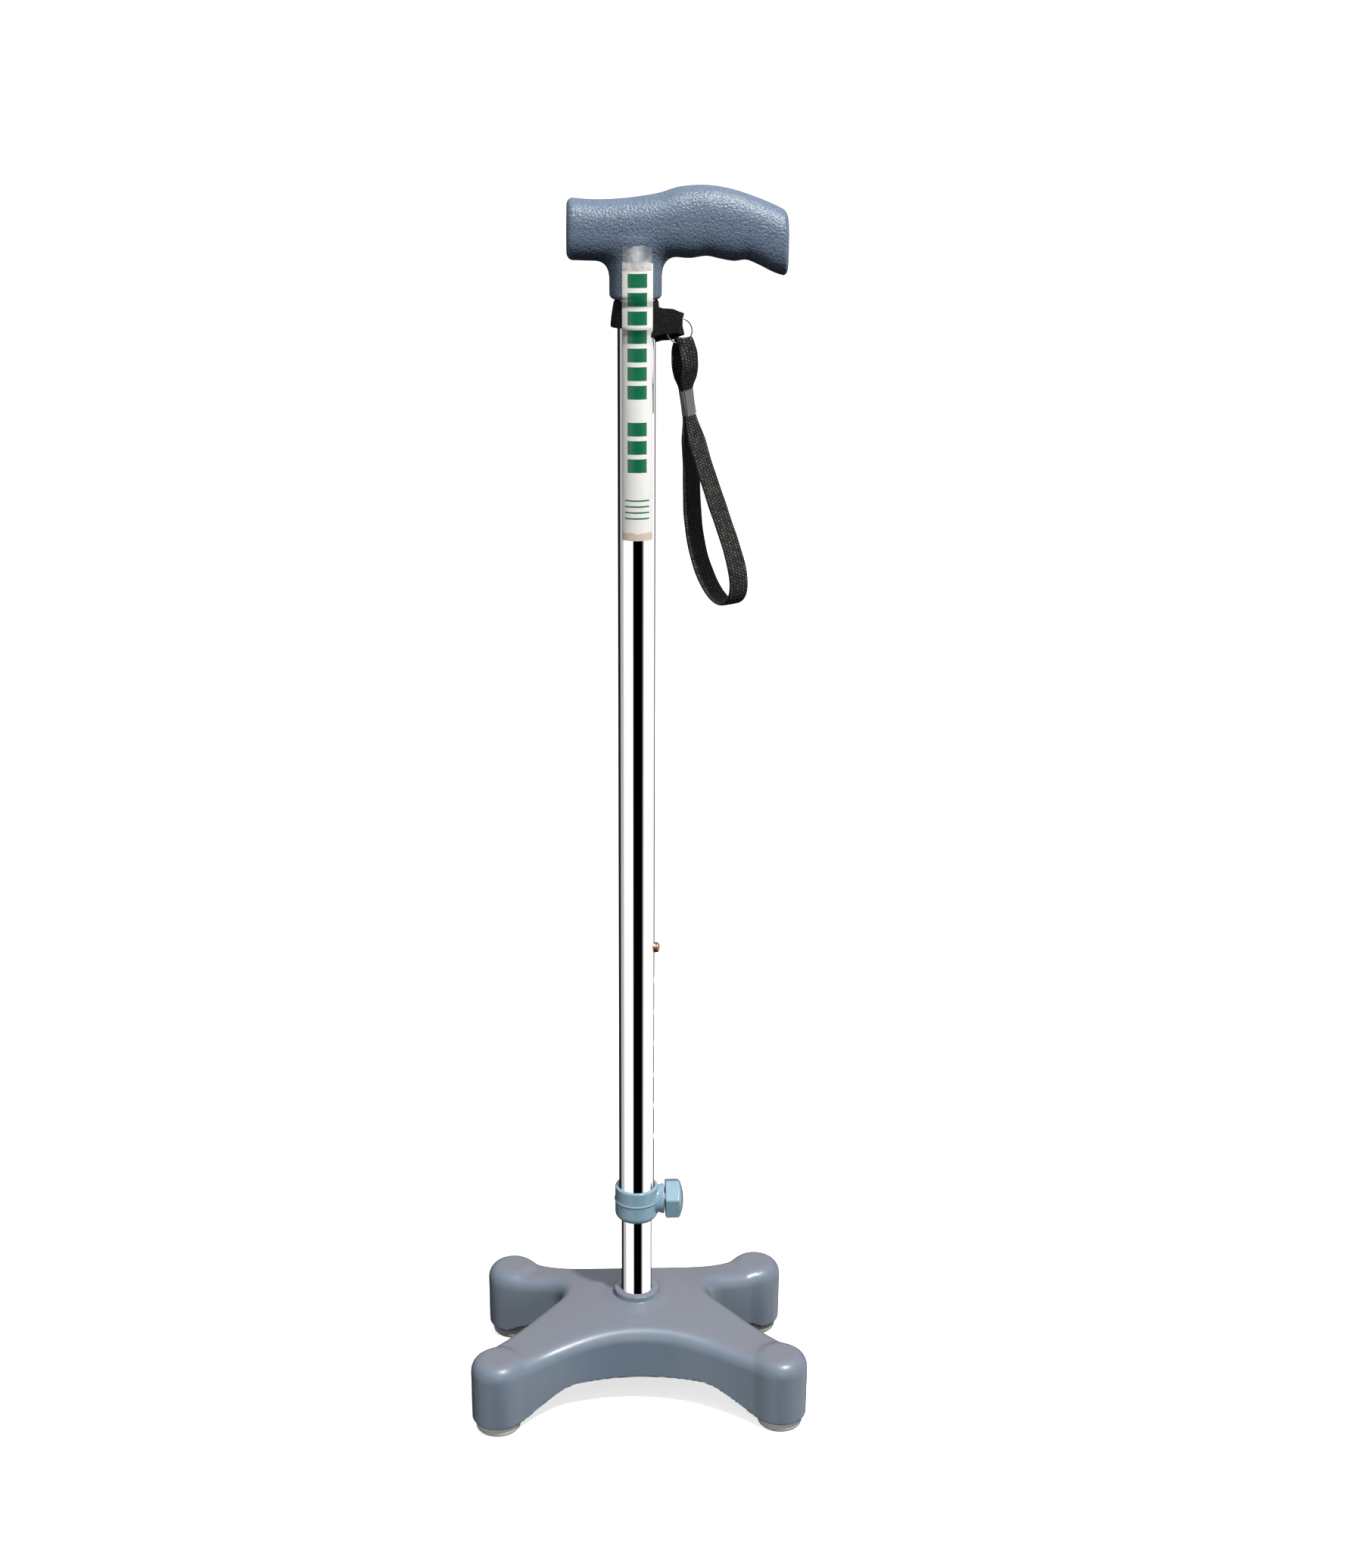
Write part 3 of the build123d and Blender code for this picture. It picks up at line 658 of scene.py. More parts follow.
def make_light():
    """One key light, high in front and to the right, and a weak one that lifts the base's front."""
    make_lamp("key", (0.84, -1.24, 2.65), (0, 0, 0.35), 440, 0.09, 60, (1.0, 0.975, 0.94))
    fill = make_lamp("fill", (0.1, -1.25, 0.28), (0, 0, 0.03), 34, 0.25, 22, (0.92, 0.96, 1.0))
    fill.visible_glossy = False


# how bright the studio is all round, as (degrees from the front towards +X, grey) for reflections
STUDIO = [(-180, 0.01), (-122, 0.01), (-119, 0.42), (-91, 0.50), (-88, 1.0), (-24, 1.0),
          (-22, 0.0), (33, 0.0), (35, 0.16), (41, 0.16), (43, 1.0), (136, 1.0), (141, 0.1),
          (180, 0.03)]


def make_world():
    """A white studio above, dim below, with dark flags that only the bright parts show."""
    world = bpy.data.worlds.new("studio")
    bpy.context.scene.world = world
    world.use_nodes = True
    tree = world.node_tree
    tree.nodes.clear()
    towards = add(tree, "SeparateXYZ", {0: add(tree, "TexCoord").outputs["Generated"]}).outputs
    behind = math_of(tree, "MULTIPLY", towards["Y"], -1.0)
    turn = math_of(tree, "ARCTAN2", towards["X"], behind)
    turn = remap(tree, turn, -math.pi, math.pi)
    flags = add(tree, "ValToRGB", {"Fac": turn})
    stops = flags.color_ramp.elements
    while len(stops) < len(STUDIO):
        stops.new(1.0)
    # the ramp sorts its stops, so the colours wait until every stop is in its place
    for stop, (degrees, _) in zip(stops, STUDIO):
        stop.position = degrees / 360 + 0.5
    for stop, (_, grey) in zip(stops, STUDIO):
        stop.color = (grey, grey, grey, 1)
    height = remap(tree, towards["Z"], -1.0, 1.0)
    sky = add(tree, "ValToRGB", {"Fac": height})
    sky.color_ramp.elements[0].position = 0.50
    sky.color_ramp.elements[0].color = (0.02, 0.022, 0.025, 1)
    sky.color_ramp.elements[1].position = 0.85
    sky.color_ramp.elements[1].color = (0.84, 0.88, 0.94, 1)
    ray = add(tree, "LightPath").outputs
    # a warm wall behind, which level surfaces pick up, below a white ceiling
    rise = remap(tree, towards["Z"], 0.15, 0.75)
    above = mixed(tree, rise, (0.42, 0.30, 0.26, 1), (0.85, 0.90, 1.0, 1))
    upward = remap(tree, towards["Z"], -0.02, 0.10)
    seen = mixed(tree, upward, flags.outputs[0], above)
    deep = remap(tree, towards["Z"], -0.80, -0.60, 1.0, 0.0)
    seen = mixed(tree, deep, seen, (0.03, 0.03, 0.035, 1))
    shiny = add(tree, "Background", {"Color": seen, "Strength": 1.04}).outputs[0]
    # the room is brighter behind the cane, where the key light doesn't reach
    room = remap(tree, towards["Y"], 0.0, 0.9, 0.72, 1.75)
    soft = add(tree, "Background", {"Color": sky.outputs[0], "Strength": room}).outputs[0]
    plain = add(tree, "Background", {"Color": (1, 1, 1, 1), "Strength": 1.0}).outputs[0]
    made = add(tree, "MixShader", {0: ray["Is Glossy Ray"], 1: soft, 2: shiny}).outputs[0]
    made = add(tree, "MixShader", {0: ray["Is Camera Ray"], 1: made, 2: plain}).outputs[0]
    add(tree, "OutputWorld", {"Surface": made})


# ---- the four-legged base ----
WAIST_FRONT = 17.0
WAIST_REAR = 12.0
NOTCH_CENTRE = (62.0, 13.0)
NOTCH_R = 14.0
ARM_LOW = 45.2
LEG_TOP = 47.2
PLATFORM = 54.0
RIM_R = 8.0
SHELL_WALL = 3.5
SOCKET_R = 14.25
SOCKET_FLOOR = 28.0
ARCH_TOP = 20.0
ARCH_Y = -3.5
ARCH_REACH = 93.0
ARCH_RUN = 31.0
LEG_BOSS_R = 13.6
RIB_HALF_W = 1.5
PLUG_R = 7.85
PLUG_HOLE_R = 8.1
BOLT_HOLE_R = 3.3
BOLT_RECESS_R = 9.0
BOLT_WALL = 4.0


def side_between(a, b, depth):
    """The concave side between two legs: its circle, and where it touches the legs' circles."""
    middle, along = (a + b) / 2, (b - a) / np.linalg.norm(b - a)
    outward = np.array((along[1], -along[0]))
    half = np.linalg.norm(b - a) / 2
    radius = (depth ** 2 + half ** 2 - LEG_R ** 2) / (2 * (LEG_R + depth))
    centre = middle + outward * (radius - depth)
    touches = [p + (centre - p) / np.linalg.norm(centre - p) * LEG_R for p in (a, b)]
    return centre, radius, touches


def notch_between(a, b, centre):
    """The notch in a side: its circle, and its straight flanks from leg to arc and arc to leg."""
    flanks = []
    for leg, turn in ((a, -1), (b, 1)):
        apart = centre - leg
        angle = math.atan2(apart[1], apart[0])
        angle += turn * math.acos((LEG_R + NOTCH_R) / np.linalg.norm(apart))
        normal = np.array((math.cos(angle), math.sin(angle)))
        flanks.append((leg + normal * LEG_R, centre - normal * NOTCH_R))
    (first, start), (last, end) = flanks
    return centre, NOTCH_R, [first, start, centre, end, last]


LEG_SPOTS = [FEET[name][:2] for name in ("front_left", "front_right", "rear_right", "rear_left")]
SIDES = [
    side_between(LEG_SPOTS[0], LEG_SPOTS[1], WAIST_FRONT),
    notch_between(LEG_SPOTS[1], LEG_SPOTS[2], np.array(NOTCH_CENTRE)),
    side_between(LEG_SPOTS[2], LEG_SPOTS[3], WAIST_REAR),
    notch_between(LEG_SPOTS[3], LEG_SPOTS[0], np.array(NOTCH_CENTRE) * (-1, 1)),
]


def polygon_distance(x, y, corners):
    """Distance to a closed polygon's edge, negative inside."""
    nearest, inside = np.inf, np.zeros(np.broadcast(x, y).shape, bool)
    for (ax, ay), (bx, by) in zip(corners, corners[1:] + corners[:1]):
        ex, ey = bx - ax, by - ay
        t = np.clip(((x - ax) * ex + (y - ay) * ey) / (ex * ex + ey * ey), 0, 1)
        nearest = np.minimum(nearest, np.hypot(x - ax - t * ex, y - ay - t * ey))
        crosses = ((ay > y) != (by > y)) & (x < (bx - ax) * (y - ay) / (by - ay + 1e-12) + ax)
        inside = inside ^ crosses
    return np.where(inside, -nearest, nearest)


def base_outline(x, y):
    """Distance to the base's outline seen from above."""
    corners = []
    for spot, (_, _, touches) in zip(LEG_SPOTS, SIDES):
        corners += [tuple(spot)] + [tuple(point) for point in touches]
    inside = polygon_distance(x, y, corners)
    for (cx, cy), radius, _ in SIDES:
        inside = np.maximum(inside, radius - np.hypot(x - cx, y - cy))
    for lx, ly in LEG_SPOTS:
        inside = np.minimum(inside, np.hypot(x - lx, y - ly) - LEG_R)
    return inside


def base_field(x, y, z):
    """Distance to the moulded base, hollow underneath."""
    outline = base_outline(x, y)
    rho = np.hypot(x, y)
    draft = 0.014 * (PLATFORM - z)
    fall = ease(rho, 20.0, 90.0)
    top = PLATFORM - (PLATFORM - ARM_LOW) * fall
    steep = np.hypot(1, 1.5 * (PLATFORM - ARM_LOW) / 70 * 4 * fall * (1 - fall))
    body = both(outline + draft, (z - top) / steep, RIM_R)
    leg_boss = np.inf
    for lx, ly in LEG_SPOTS:
        away = np.hypot(x - lx, y - ly)
        body = blend(body, both(away - LEG_R + draft, z - LEG_TOP, RIM_R), 3.0)
        leg_boss = np.minimum(leg_boss, away)
    # the soft cone and the ring that hold the shaft
    cone = (rho - SOCKET_R - 1.6 * (PLATFORM + 3.0 - z)) / 1.9
    cone = np.maximum(cone, PLATFORM - 5.0 - z)
    body = blend(body, both(cone, z - PLATFORM - 1.8, 1.2), 3.0)
    body = blend(body, both(rho - SOCKET_R, z - SOCKET_TOP, 0.8), 0.8)
    # the arch under it, and the rounded ends of the legs
    slope = LEG_BOTTOM + (ARCH_REACH - np.hypot(x, y - ARCH_Y)) * (ARCH_TOP - LEG_BOTTOM) / ARCH_RUN
    arch = blend(slope, ARCH_TOP + 0 * slope, 2.5)
    body = both(body, (arch - z) / 1.06, 0.6)
    body = both(body, LEG_BOTTOM - z, 1.0)
    # the hollow, around the hub, the ribs and the legs
    hollow = both(outline + SHELL_WALL, z - top + SHELL_WALL + 1.0, 2.0)
    hollow = cut(hollow, rho - SOCKET_R, 1.0)
    hollow = cut(hollow, leg_boss - LEG_BOSS_R, 1.0)
    for lx, ly in LEG_SPOTS:
        length = math.hypot(lx, ly)
        ahead, aside = (x * lx + y * ly) / length, (y * lx - x * ly) / length
        hollow = cut(hollow, np.maximum(np.abs(aside) - RIB_HALF_W, -ahead), 0.6)
    body = cut(body, hollow, 0.5)
    body = cut(body, np.maximum(rho - INNER_R - 0.1, SOCKET_FLOOR - z), 0.5)
    body = cut(body, rho - BOLT_HOLE_R, 0.3)
    body = cut(body, np.maximum(rho - BOLT_RECESS_R, z - SOCKET_FLOOR + BOLT_WALL), 0.3)
    return cut(body, np.maximum(leg_boss - PLUG_HOLE_R, z - FOOT_TOP - 1.5), 0.4)


def make_base():
    shell = make_surface("moulded_base", base_field, "base_shell", 1.15, BASE_PLASTIC)
    shell.visible_glossy = False
    belongs(shell, "base", "base_plastic", "base_shell")


def make_feet():
    """Rubber pads with a rounded edge, two moulded rings underneath, and the plug above."""
    pad, plug = FOOT_R, PLUG_R
    profile = [(0.01, 0.6), (4.0, 0.6), (4.4, 0.0), (6.4, 0.0), (6.8, 0.7), (9.0, 0.7), (9.4, 0.0),
               (pad - 1.6, 0.0), (pad - 0.8, 0.2), (pad - 0.25, 0.8), (pad, 1.6), (pad, 3.4),
               (pad - 0.1, LEG_BOTTOM - 0.9), (pad - 0.35, LEG_BOTTOM - 0.3),
               (pad - 0.9, LEG_BOTTOM), (plug + 0.3, LEG_BOTTOM), (plug, LEG_BOTTOM + 0.4),
               (plug, FOOT_TOP - 1.0), (plug - 1.0, FOOT_TOP), (0.01, FOOT_TOP)]
    for name, centre in FEET.items():
        points, faces = turned(profile, 96, centre[:2])
        piece = make_piece("rubber_foot_" + name, points, faces, RUBBER)
        piece.visible_glossy = False
        sharpen(piece, 42)
        belongs(piece, "base", "foot_rubber", "foot_" + name)


# ---- the shaft ----
HOLE_PITCH = 21.0
HOLE_COUNT = 7
BUTTON_HOLE_R = 3.28


def make_tube(name, outer, bore, low, high, drills, body, node):
    """A chromed tube with eased ends; drills are (direction in degrees, height, radius)."""
    edge = 0.35
    profile = [(bore, low + edge), (bore + edge, low), (outer - edge, low), (outer, low + edge)]
    stations = np.linspace(low + edge, high - edge, 24)[1:-1]
    profile += [(outer, z) for z in stations]
    profile += [(outer, high - edge), (outer - edge, high), (bore + edge, high), (bore, high - edge)]
    profile += [(bore, z) for z in stations[::-1]]
    points, faces = turned(profile, 128)
    tube = make_piece(name, points, faces, CHROME)
    parts, sides = [], []
    for degrees, z, radius in drills:
        angle = math.radians(degrees)
        drill, walls = turned([(0.01, 4.0), (radius, 4.0), (radius, outer + 4), (0.01, outer + 4)], 48,
                              axis="x")
        spin = np.array([[math.cos(angle), -math.sin(angle), 0], [math.sin(angle), math.cos(angle), 0],
                         [0, 0, 1]])
        sides += [tuple(i + sum(len(p) for p in parts) for i in f) for f in walls]
        parts.append(drill @ spin.T + (0, 0, z))
    cutter = make_piece("cutter", np.concatenate(parts), sides, CHROME)
    holes = tube.modifiers.new("holes", "BOOLEAN")
    holes.operation = "DIFFERENCE"
    holes.solver = "EXACT"
    holes.object = cutter
    bpy.context.view_layer.update()
    graph = bpy.context.evaluated_depsgraph_get()
    drilled = bpy.data.meshes.new_from_object(tube.evaluated_get(graph))
    tube.modifiers.clear()
    tube.data = drilled
    bpy.data.objects.remove(cutter)
    set_tube_normals(tube, outer, bore)
    return belongs(tube, body, "chrome_tube", node)


def set_tube_normals(tube, outer, bore):
    """Exactly round normals on the two walls, so that reflections run straight."""
    mesh = tube.data
    normals = []
    for face in mesh.polygons:
        centre = np.array(face.center) / MM
        flat = np.array(face.normal)
        out = centre.copy()
        out[2] = 0
        distance = np.linalg.norm(out)
        facing = float(flat @ out) / distance
        for corner in face.vertices:
            spot = np.array(mesh.vertices[corner].co)
            radial = np.array((spot[0], spot[1], 0)) / math.hypot(spot[0], spot[1])
            if abs(distance - outer) < 0.1 and facing > 0.9:
                normals.append(radial)
            elif abs(distance - bore) < 0.1 and facing < -0.9:
                normals.append(-radial)
            else:
                normals.append(flat)
    mesh.normals_split_custom_set([tuple(n) for n in normals])


def make_shaft():
    make_tube("shaft_lower_tube", INNER_R, INNER_R - TUBE_WALL, INNER_LOW[2], INNER_HIGH[2],
              [(0, BUTTON_Z, BUTTON_HOLE_R)], "base", "inner_tube")
    drills = [(0, BUTTON_Z - i * HOLE_PITCH, BUTTON_HOLE_R) for i in range(HOLE_COUNT)]
    drills += [(0, CLAMP_Z, 3.0), (90, SCREW_Z, 1.6)]
    make_tube("shaft_upper_tube", OUTER_R, OUTER_R - TUBE_WALL, OUTER_LOW[2], OUTER_HIGH[2],
              drills, "upper", "outer_tube")


def make_button():
    """The snap button: a flange inside the tube, and a round-nosed pin with a turned groove."""
    flange, tip, radius = BUTTON_LOW[0], BUTTON_HIGH[0], 3.2
    nose = [(radius * math.cos(a), tip - 2.0 + 2.0 * math.sin(a))
            for a in np.linspace(0, math.pi / 2, 9)[:-1]]
    profile = [(0.01, flange), (3.7, flange), (3.9, flange + 0.2), (3.9, flange + 1.1),
               (radius, flange + 1.2), (radius, tip - 2.5), (radius - 0.12, tip - 2.4),
               (radius - 0.12, tip - 2.2)]
    points, faces = turned(profile + nose + [(0.01, tip)], 64, (0, BUTTON_Z), "x")
    piece = make_piece("snap_button_pin", points, faces, BUTTON_METAL)
    sharpen(piece, 40)
    belongs(piece, "snap_button", "button_metal", "snap_button")


# ---- the clamp ----
COLLAR_R = 13.5
BOSS_R = 9.3


def collar_field(x, y, z):
    """Distance to the clamp's collar, with its bead and the boss for the knob's screw."""
    rho = np.hypot(x, y)
    bead = 0.55 * np.exp(-((z - (COLLAR_LOW[2] + COLLAR_HIGH[2]) / 2 - 1.6) / 0.6) ** 2)
    ring = both(rho - COLLAR_R - bead, z - COLLAR_HIGH[2], 1.1)
    ring = both(ring, COLLAR_LOW[2] - z, 4.0)
    flare = 8.5 + (BOSS_R - 8.5) * ease(x, 13.5, 16.5)
    boss = both(np.hypot(y, z - CLAMP_Z) - flare, x - COLLAR_HIGH[0], 0.8)
    boss = both(boss, 9.0 - x, 0.5)
    body = blend(ring, boss, 1.2)
    widen = 0.45 * ease(z, COLLAR_HIGH[2] - 2.2, COLLAR_HIGH[2])
    body = cut(body, np.maximum(rho - OUTER_R - 0.05 - widen, OUTER_LOW[2] - z), 0.2)
    body = cut(body, rho - INNER_R - 0.12, 0.3)
    return cut(body, np.maximum(np.hypot(y, z - CLAMP_Z) - 3.3, -x), 0.3)


KNOB_CORNER_R = 13.1
KNOB_TURN = 20.5


def knob_field(x, y, z):
    """Six soft sides round the X axis, and a domed end."""
    turn = math.radians(KNOB_TURN)
    u = -y * math.cos(turn) + (z - CLAMP_Z) * math.sin(turn)
    v = y * math.sin(turn) + (z - CLAMP_Z) * math.cos(turn)
    sides = [u * math.cos(a) + v * math.sin(a) - KNOB_CORNER_R * math.sqrt(3) / 2
             for a in np.radians((30, 90, 150, 210, 270, 330))]
    body = sides[0]
    for side in sides[1:]:
        body = both(body, side, 0.9)
    start, end = KNOB_LOW[0], KNOB_HIGH[0]
    body = both(body, start - x, 0.7)
    rise = 3.2
    dome_r = (KNOB_CORNER_R ** 2 + rise ** 2) / (2 * rise)
    dome = np.sqrt((x - end + dome_r) ** 2 + y ** 2 + (z - CLAMP_Z) ** 2) - dome_r
    body = both(body, dome, 0.8)
    spindle = np.hypot(y, z - CLAMP_Z)
    return cut(body, np.maximum(spindle - 3.05, x - start - 2.5), 0.3)


def make_clamp():
    collar = make_surface("clamp_collar", collar_field, "collar", 0.42, CLAMP_PLASTIC)
    collar.visible_glossy = False
    belongs(collar, "upper", "clamp_plastic", "collar")
    knob = make_surface("hexagonal_knob", knob_field, "clamp_knob", 0.42, CLAMP_PLASTIC)
    knob.visible_glossy = False
    belongs(knob, "knob", "clamp_plastic", "clamp_knob")


# ---- the grip ----
# the grip's side view, as (x, height of the top) and (x, height of the underside)
GRIP_TOP = [(-40, 743.6), (-23, 742.4), (-9, 742.9), (2.5, 744.2), (14, 746.3), (23, 749.1),
            (31, 750.1), (41, 750.1), (51, 748.6), (63, 745.1), (73, 741.3), (80, 738.2), (87, 734.6)]
GRIP_UNDER = [(-40, 708.8), (-23, 708.3), (0, 708.5), (21, 710.3), (30, 709.7), (40, 710.8),
              (47.5, 709.2), (55, 708.0), (62, 708.6), (68, 706.3), (78, 701.4), (87, 698.6)]
GRIP_HALF_W = [(-40, 14.0), (-23, 14.4), (0, 14.9), (24, 14.4), (40, 14.0), (60, 14.2), (87, 14.0)]
STEM_R = 14.6
SCREW_SINK = 1.6
STEM_LOW = GRIP_LOW[2]
STEM_TOP = 727
GRIP_SQUARENESS = 2.6
GRIP_END_GAP = 0.9


def through(points, x):
    """A smooth line through (x, value) points: a cubic from each point to the next."""
    at, value = np.array(points).T
    slope = np.gradient(value, at)
    i = np.clip(np.searchsorted(at, x) - 1, 0, len(at) - 2)
    width = at[i + 1] - at[i]
    t = np.clip((x - at[i]) / width, 0, 1)
    a = value[i] + slope[i] * width * t * (1 - t) ** 2
    b = (value[i + 1] - value[i]) * t * t * (3 - 2 * t)
    return a + b - slope[i + 1] * width * t * t * (1 - t)


def grip_field(x, y, z):
    """Distance to the grip and its stem."""
    top, under, half_w = through(GRIP_TOP, x), through(GRIP_UNDER, x), through(GRIP_HALF_W, x)
    middle, half_h = (top + under) / 2, (top - under) / 2
    ring = np.abs(y / half_w) ** GRIP_SQUARENESS + (np.abs(z - middle) / half_h) ** GRIP_SQUARENESS
    ring = ring ** (1 / GRIP_SQUARENESS)
    bar = (ring - 1) * np.minimum(half_w, half_h)
    left = (GRIP_LOW[0] - x) + 0.25 * ease(z, 722, 742)
    right = x - GRIP_HIGH[0] + GRIP_END_GAP
    bar = both(both(bar, left, 3.6), right, 2.8)
    stem = both(np.hypot(x + 0.6, y) - STEM_R - 0.35, STEM_LOW - z, 3.2)
    stem = both(stem, z - STEM_TOP, 8.0)
    # the fillet is wide under the bar and narrow in front, where the two run into each other
    sideways = x ** 2 / np.maximum(x ** 2 + y ** 2, 1.0)
    body = blend(bar, stem, 2.0 + 7.0 * sideways)
    screw = np.hypot(x, z - SCREW_Z)
    body = cut(body, np.maximum(screw - 3.6, STEM_R - SCREW_SINK - y), 0.4)
    return cut(body, np.maximum(np.hypot(x, y) - OUTER_R - 0.05, z - OUTER_HIGH[2]), 0.4)


def make_grip():
    grip = make_surface("moulded_grip", grip_field, "handle", 0.95, GRIP_PLASTIC)
    belongs(grip, "upper", "grip_plastic", "handle")


# ---- the paper strip ----
BAND_R = 13.0
BAND_BOTTOM = 671.0
LABEL_LEFT = -8.5
LABEL_RIGHT = 8.9
# the radius that the paper lies at, by height
LABEL_SIDE = [(540, 11.05), (662, 11.05), (667, 11.7), (671.5, 13.1), (683, 13.2), (687, 14.5),
              (690, 14.7), (716, 14.7)]


def front_of(x, z, lift):
    """How far forward paper lies at each (x, z): on the tube and the stem, or on the grip."""
    heights, radii = np.array(LABEL_SIDE).T
    radius = np.interp(z, heights, radii) + lift
    on_shaft = -np.sqrt(np.maximum(radius ** 2 - x ** 2, 1.0))
    near, far = np.full(x.shape, -5.0), np.full(x.shape, -30.0)
    for _ in range(26):
        middle = (near + far) / 2
        inside = grip_field(x, middle, z) < 0
        near, far = np.where(inside, middle, near), np.where(inside, far, middle)
    on_grip = np.where(z > STEM_LOW + 1, near - lift, 0)
    return np.minimum(on_shaft, on_grip)


def make_skin(name, x_edges, z_low, z_high, columns, step, thickness, material, lift):
    """A thin closed sheet on the front of the cane; lift is how far off what it covers it lies."""
    rows = int((z_high(0.5) - z_low(0.5)) / step)
    across, up = np.linspace(0, 1, columns), np.linspace(0, 1, rows)
    low = np.array([z_low(s) for s in across])
    high = np.array([z_high(s) for s in across])
    x = np.tile(x_edges[0] + (x_edges[1] - x_edges[0]) * across, (rows, 1))
    z = low[None, :] + (high - low)[None, :] * up[:, None]
    sheets = [np.stack([x, front_of(x, z, lift + t), z], axis=2).reshape(-1, 3)
              for t in (thickness, 0.0)]
    faces = []
    count = rows * columns
    for i in range(rows - 1):
        for j in range(columns - 1):
            a = i * columns + j
            faces.append((a, a + 1, a + columns + 1, a + columns))
            faces.append((count + a, count + a + columns, count + a + columns + 1, count + a + 1))
    rim = list(range(columns)) + [i * columns + columns - 1 for i in range(1, rows)]
    rim += [(rows - 1) * columns + j for j in range(columns - 2, -1, -1)]
    rim += [i * columns for i in range(rows - 2, 0, -1)]
    for a, b in zip(rim, rim[1:] + rim[:1]):
        faces.append((b, a, count + a, count + b))
    piece = make_piece(name, np.concatenate(sheets), faces, material)
    sharpen(piece, 50)
    return piece


def torn(side, seed, size):
    """A ragged line: small smooth waves that depend only on where it is."""
    return size * (math.sin(side * 9 + seed) + 0.6 * math.sin(side * 23 + 2 * seed)
                   + 0.35 * math.sin(side * 61 + 3 * seed))


def make_label():
    label = make_skin("paper_strip", (LABEL_LEFT, LABEL_RIGHT),
                      lambda s: LABEL_LOW[2] + 0.4, lambda s: LABEL_HIGH[2] + 2.2 + torn(s, 1.0, 0.45),
                      40, 0.8, 0.15, PAPER, 0.06)
    belongs(label, "upper", "label_paper", "paper_label")
    tape = make_skin("tape_scrap", (LABEL_LEFT + 0.2, LABEL_RIGHT - 0.6),
                     lambda s: LABEL_HIGH[2] - 2.0, lambda s: LABEL_HIGH[2] + 11.5 + torn(s, 2.5, 0.5),
                     36, 0.6, 0.1, TAPE, 0.26)
    belongs(tape, "upper", "label_paper")


# ---- the wrist strap ----
CRIMP_TOP = np.array((28.4, 4.0, 634.6))
CRIMP_FOOT = np.array((30.6, 6.5, 619.2))
WEB_W = 12.0
WEB_T = 1.5
# the wrist loop in its own plane: (across, below the crimp), down one side and up the other
WRIST_ROUTE = [
    (-0.95, 0.15), (1.6, 20.0), (2.2, 40.0), (3.2, 60.0), (7.0, 77.5), (13.5, 91.5),
    (23.0, 103.0), (34.0, 107.5), (42.0, 101.5), (42.8, 89.0), (36.6, 73.0), (28.0, 57.0),
    (18.5, 39.0), (9.0, 20.0), (0.95, 0.15),
]
YAW = math.radians(50)
STRAP_ACROSS = np.array((math.cos(YAW), -math.sin(YAW), 0))
STRAP_WIDE = np.array((math.sin(YAW), math.cos(YAW), 0))


def web_section(half_w, thickness, ribs):
    """A flattened tube of webbing: full in the middle, thin at its edges, ribbed lengthwise."""
    angles = np.linspace(0, 2 * math.pi, 44, endpoint=False)
    across = np.sign(np.cos(angles)) * np.abs(np.cos(angles)) ** 0.75 * half_w
    lift = np.sign(np.sin(angles)) * np.abs(np.sin(angles)) ** 0.6 * thickness / 2
    ribbed = 1 + 0.10 * np.cos(across / half_w * math.pi * ribs)
    return np.stack([across, lift * ribbed], axis=1)


def make_wrist_loop():
    route = [CRIMP_FOOT + STRAP_ACROSS * s - np.array((0, 0, d)) for s, d in WRIST_ROUTE]
    path, along = spaced(curve_points(route), 0.9)
    length = along[-1]
    # it faces forward a little more in the middle of the loop
    yaw = YAW + math.radians(9) * np.sin(math.pi * along / length)
    side = np.stack([np.sin(yaw), np.cos(yaw), 0 * yaw], axis=1)

    def section_at(i):
        from_end = min(along[i], length - along[i])
        gathered = 1 - 0.34 * (1 - ease(from_end, 0.0, 16.0))
        wave = 1 + 0.015 * math.sin(along[i] / 7.0) + 0.01 * math.sin(along[i] / 2.9 + 1)
        thick = WEB_T * (1 + 0.35 * (1 - ease(from_end, 0, 14.0)))
        return web_section((WEB_W / 2 + 0.4) * gathered * wave, thick, 5)

    points, faces, uv = swept(path, side, section_at)
    loop = make_piece("wrist_strap_loop", points, faces, WEBBING, uv=uv)
    loop.visible_glossy = False
    belongs(loop, "wrist_strap", "strap_webbing", "wrist_loop")
    return loop, path, length


def make_short_loop():
    """The short loop of webbing that is drawn in where it passes through the ring."""
    hook = np.array((RING_CENTRE[0] + 2.6, 0, RING_LOW[2] + 0.5))
    reach = np.linalg.norm(CRIMP_TOP - hook)
    down = (CRIMP_TOP - hook) / reach
    lean = math.radians(34)
    wide = square_to(down, np.array((math.cos(lean), math.sin(lean), 0)))
    out = np.cross(wide, down)
    half = [(0.9, reach + 1.2), (3.0, 21.0), (5.2, 14.0), (5.0, 7.0), (3.4, 1.8)]
    route = [hook + out * o + down * d for o, d in half]
    route += [hook + out * 1.3 - down * 2.4, hook - out * 1.3 - down * 2.4]
    route += [hook - out * o + down * d for o, d in reversed(half)]
    path, along = spaced(curve_points(route), 0.6)
    below = (path - hook) @ down
    twist = 1 - ease(below, -1.0, 9.0)
    side = wide[None, :] * (1 - twist)[:, None] + np.array((1.0, 0, 0))[None, :] * twist[:, None]

    def section_at(i):
        full = 5.7 - 1.1 * (1 - ease(below[i], -0.5, 9.0)) - 1.6 * ease(below[i], 19.0, 26.5)
        return web_section(full, WEB_T * (1 + 0.2 * twist[i]), 5)

    points, faces, uv = swept(path, side, section_at)
    loop = make_piece("short_strap_loop", points, faces, WEBBING, uv=uv)
    return belongs(loop, "wrist_strap", "strap_webbing", "strap_loop")


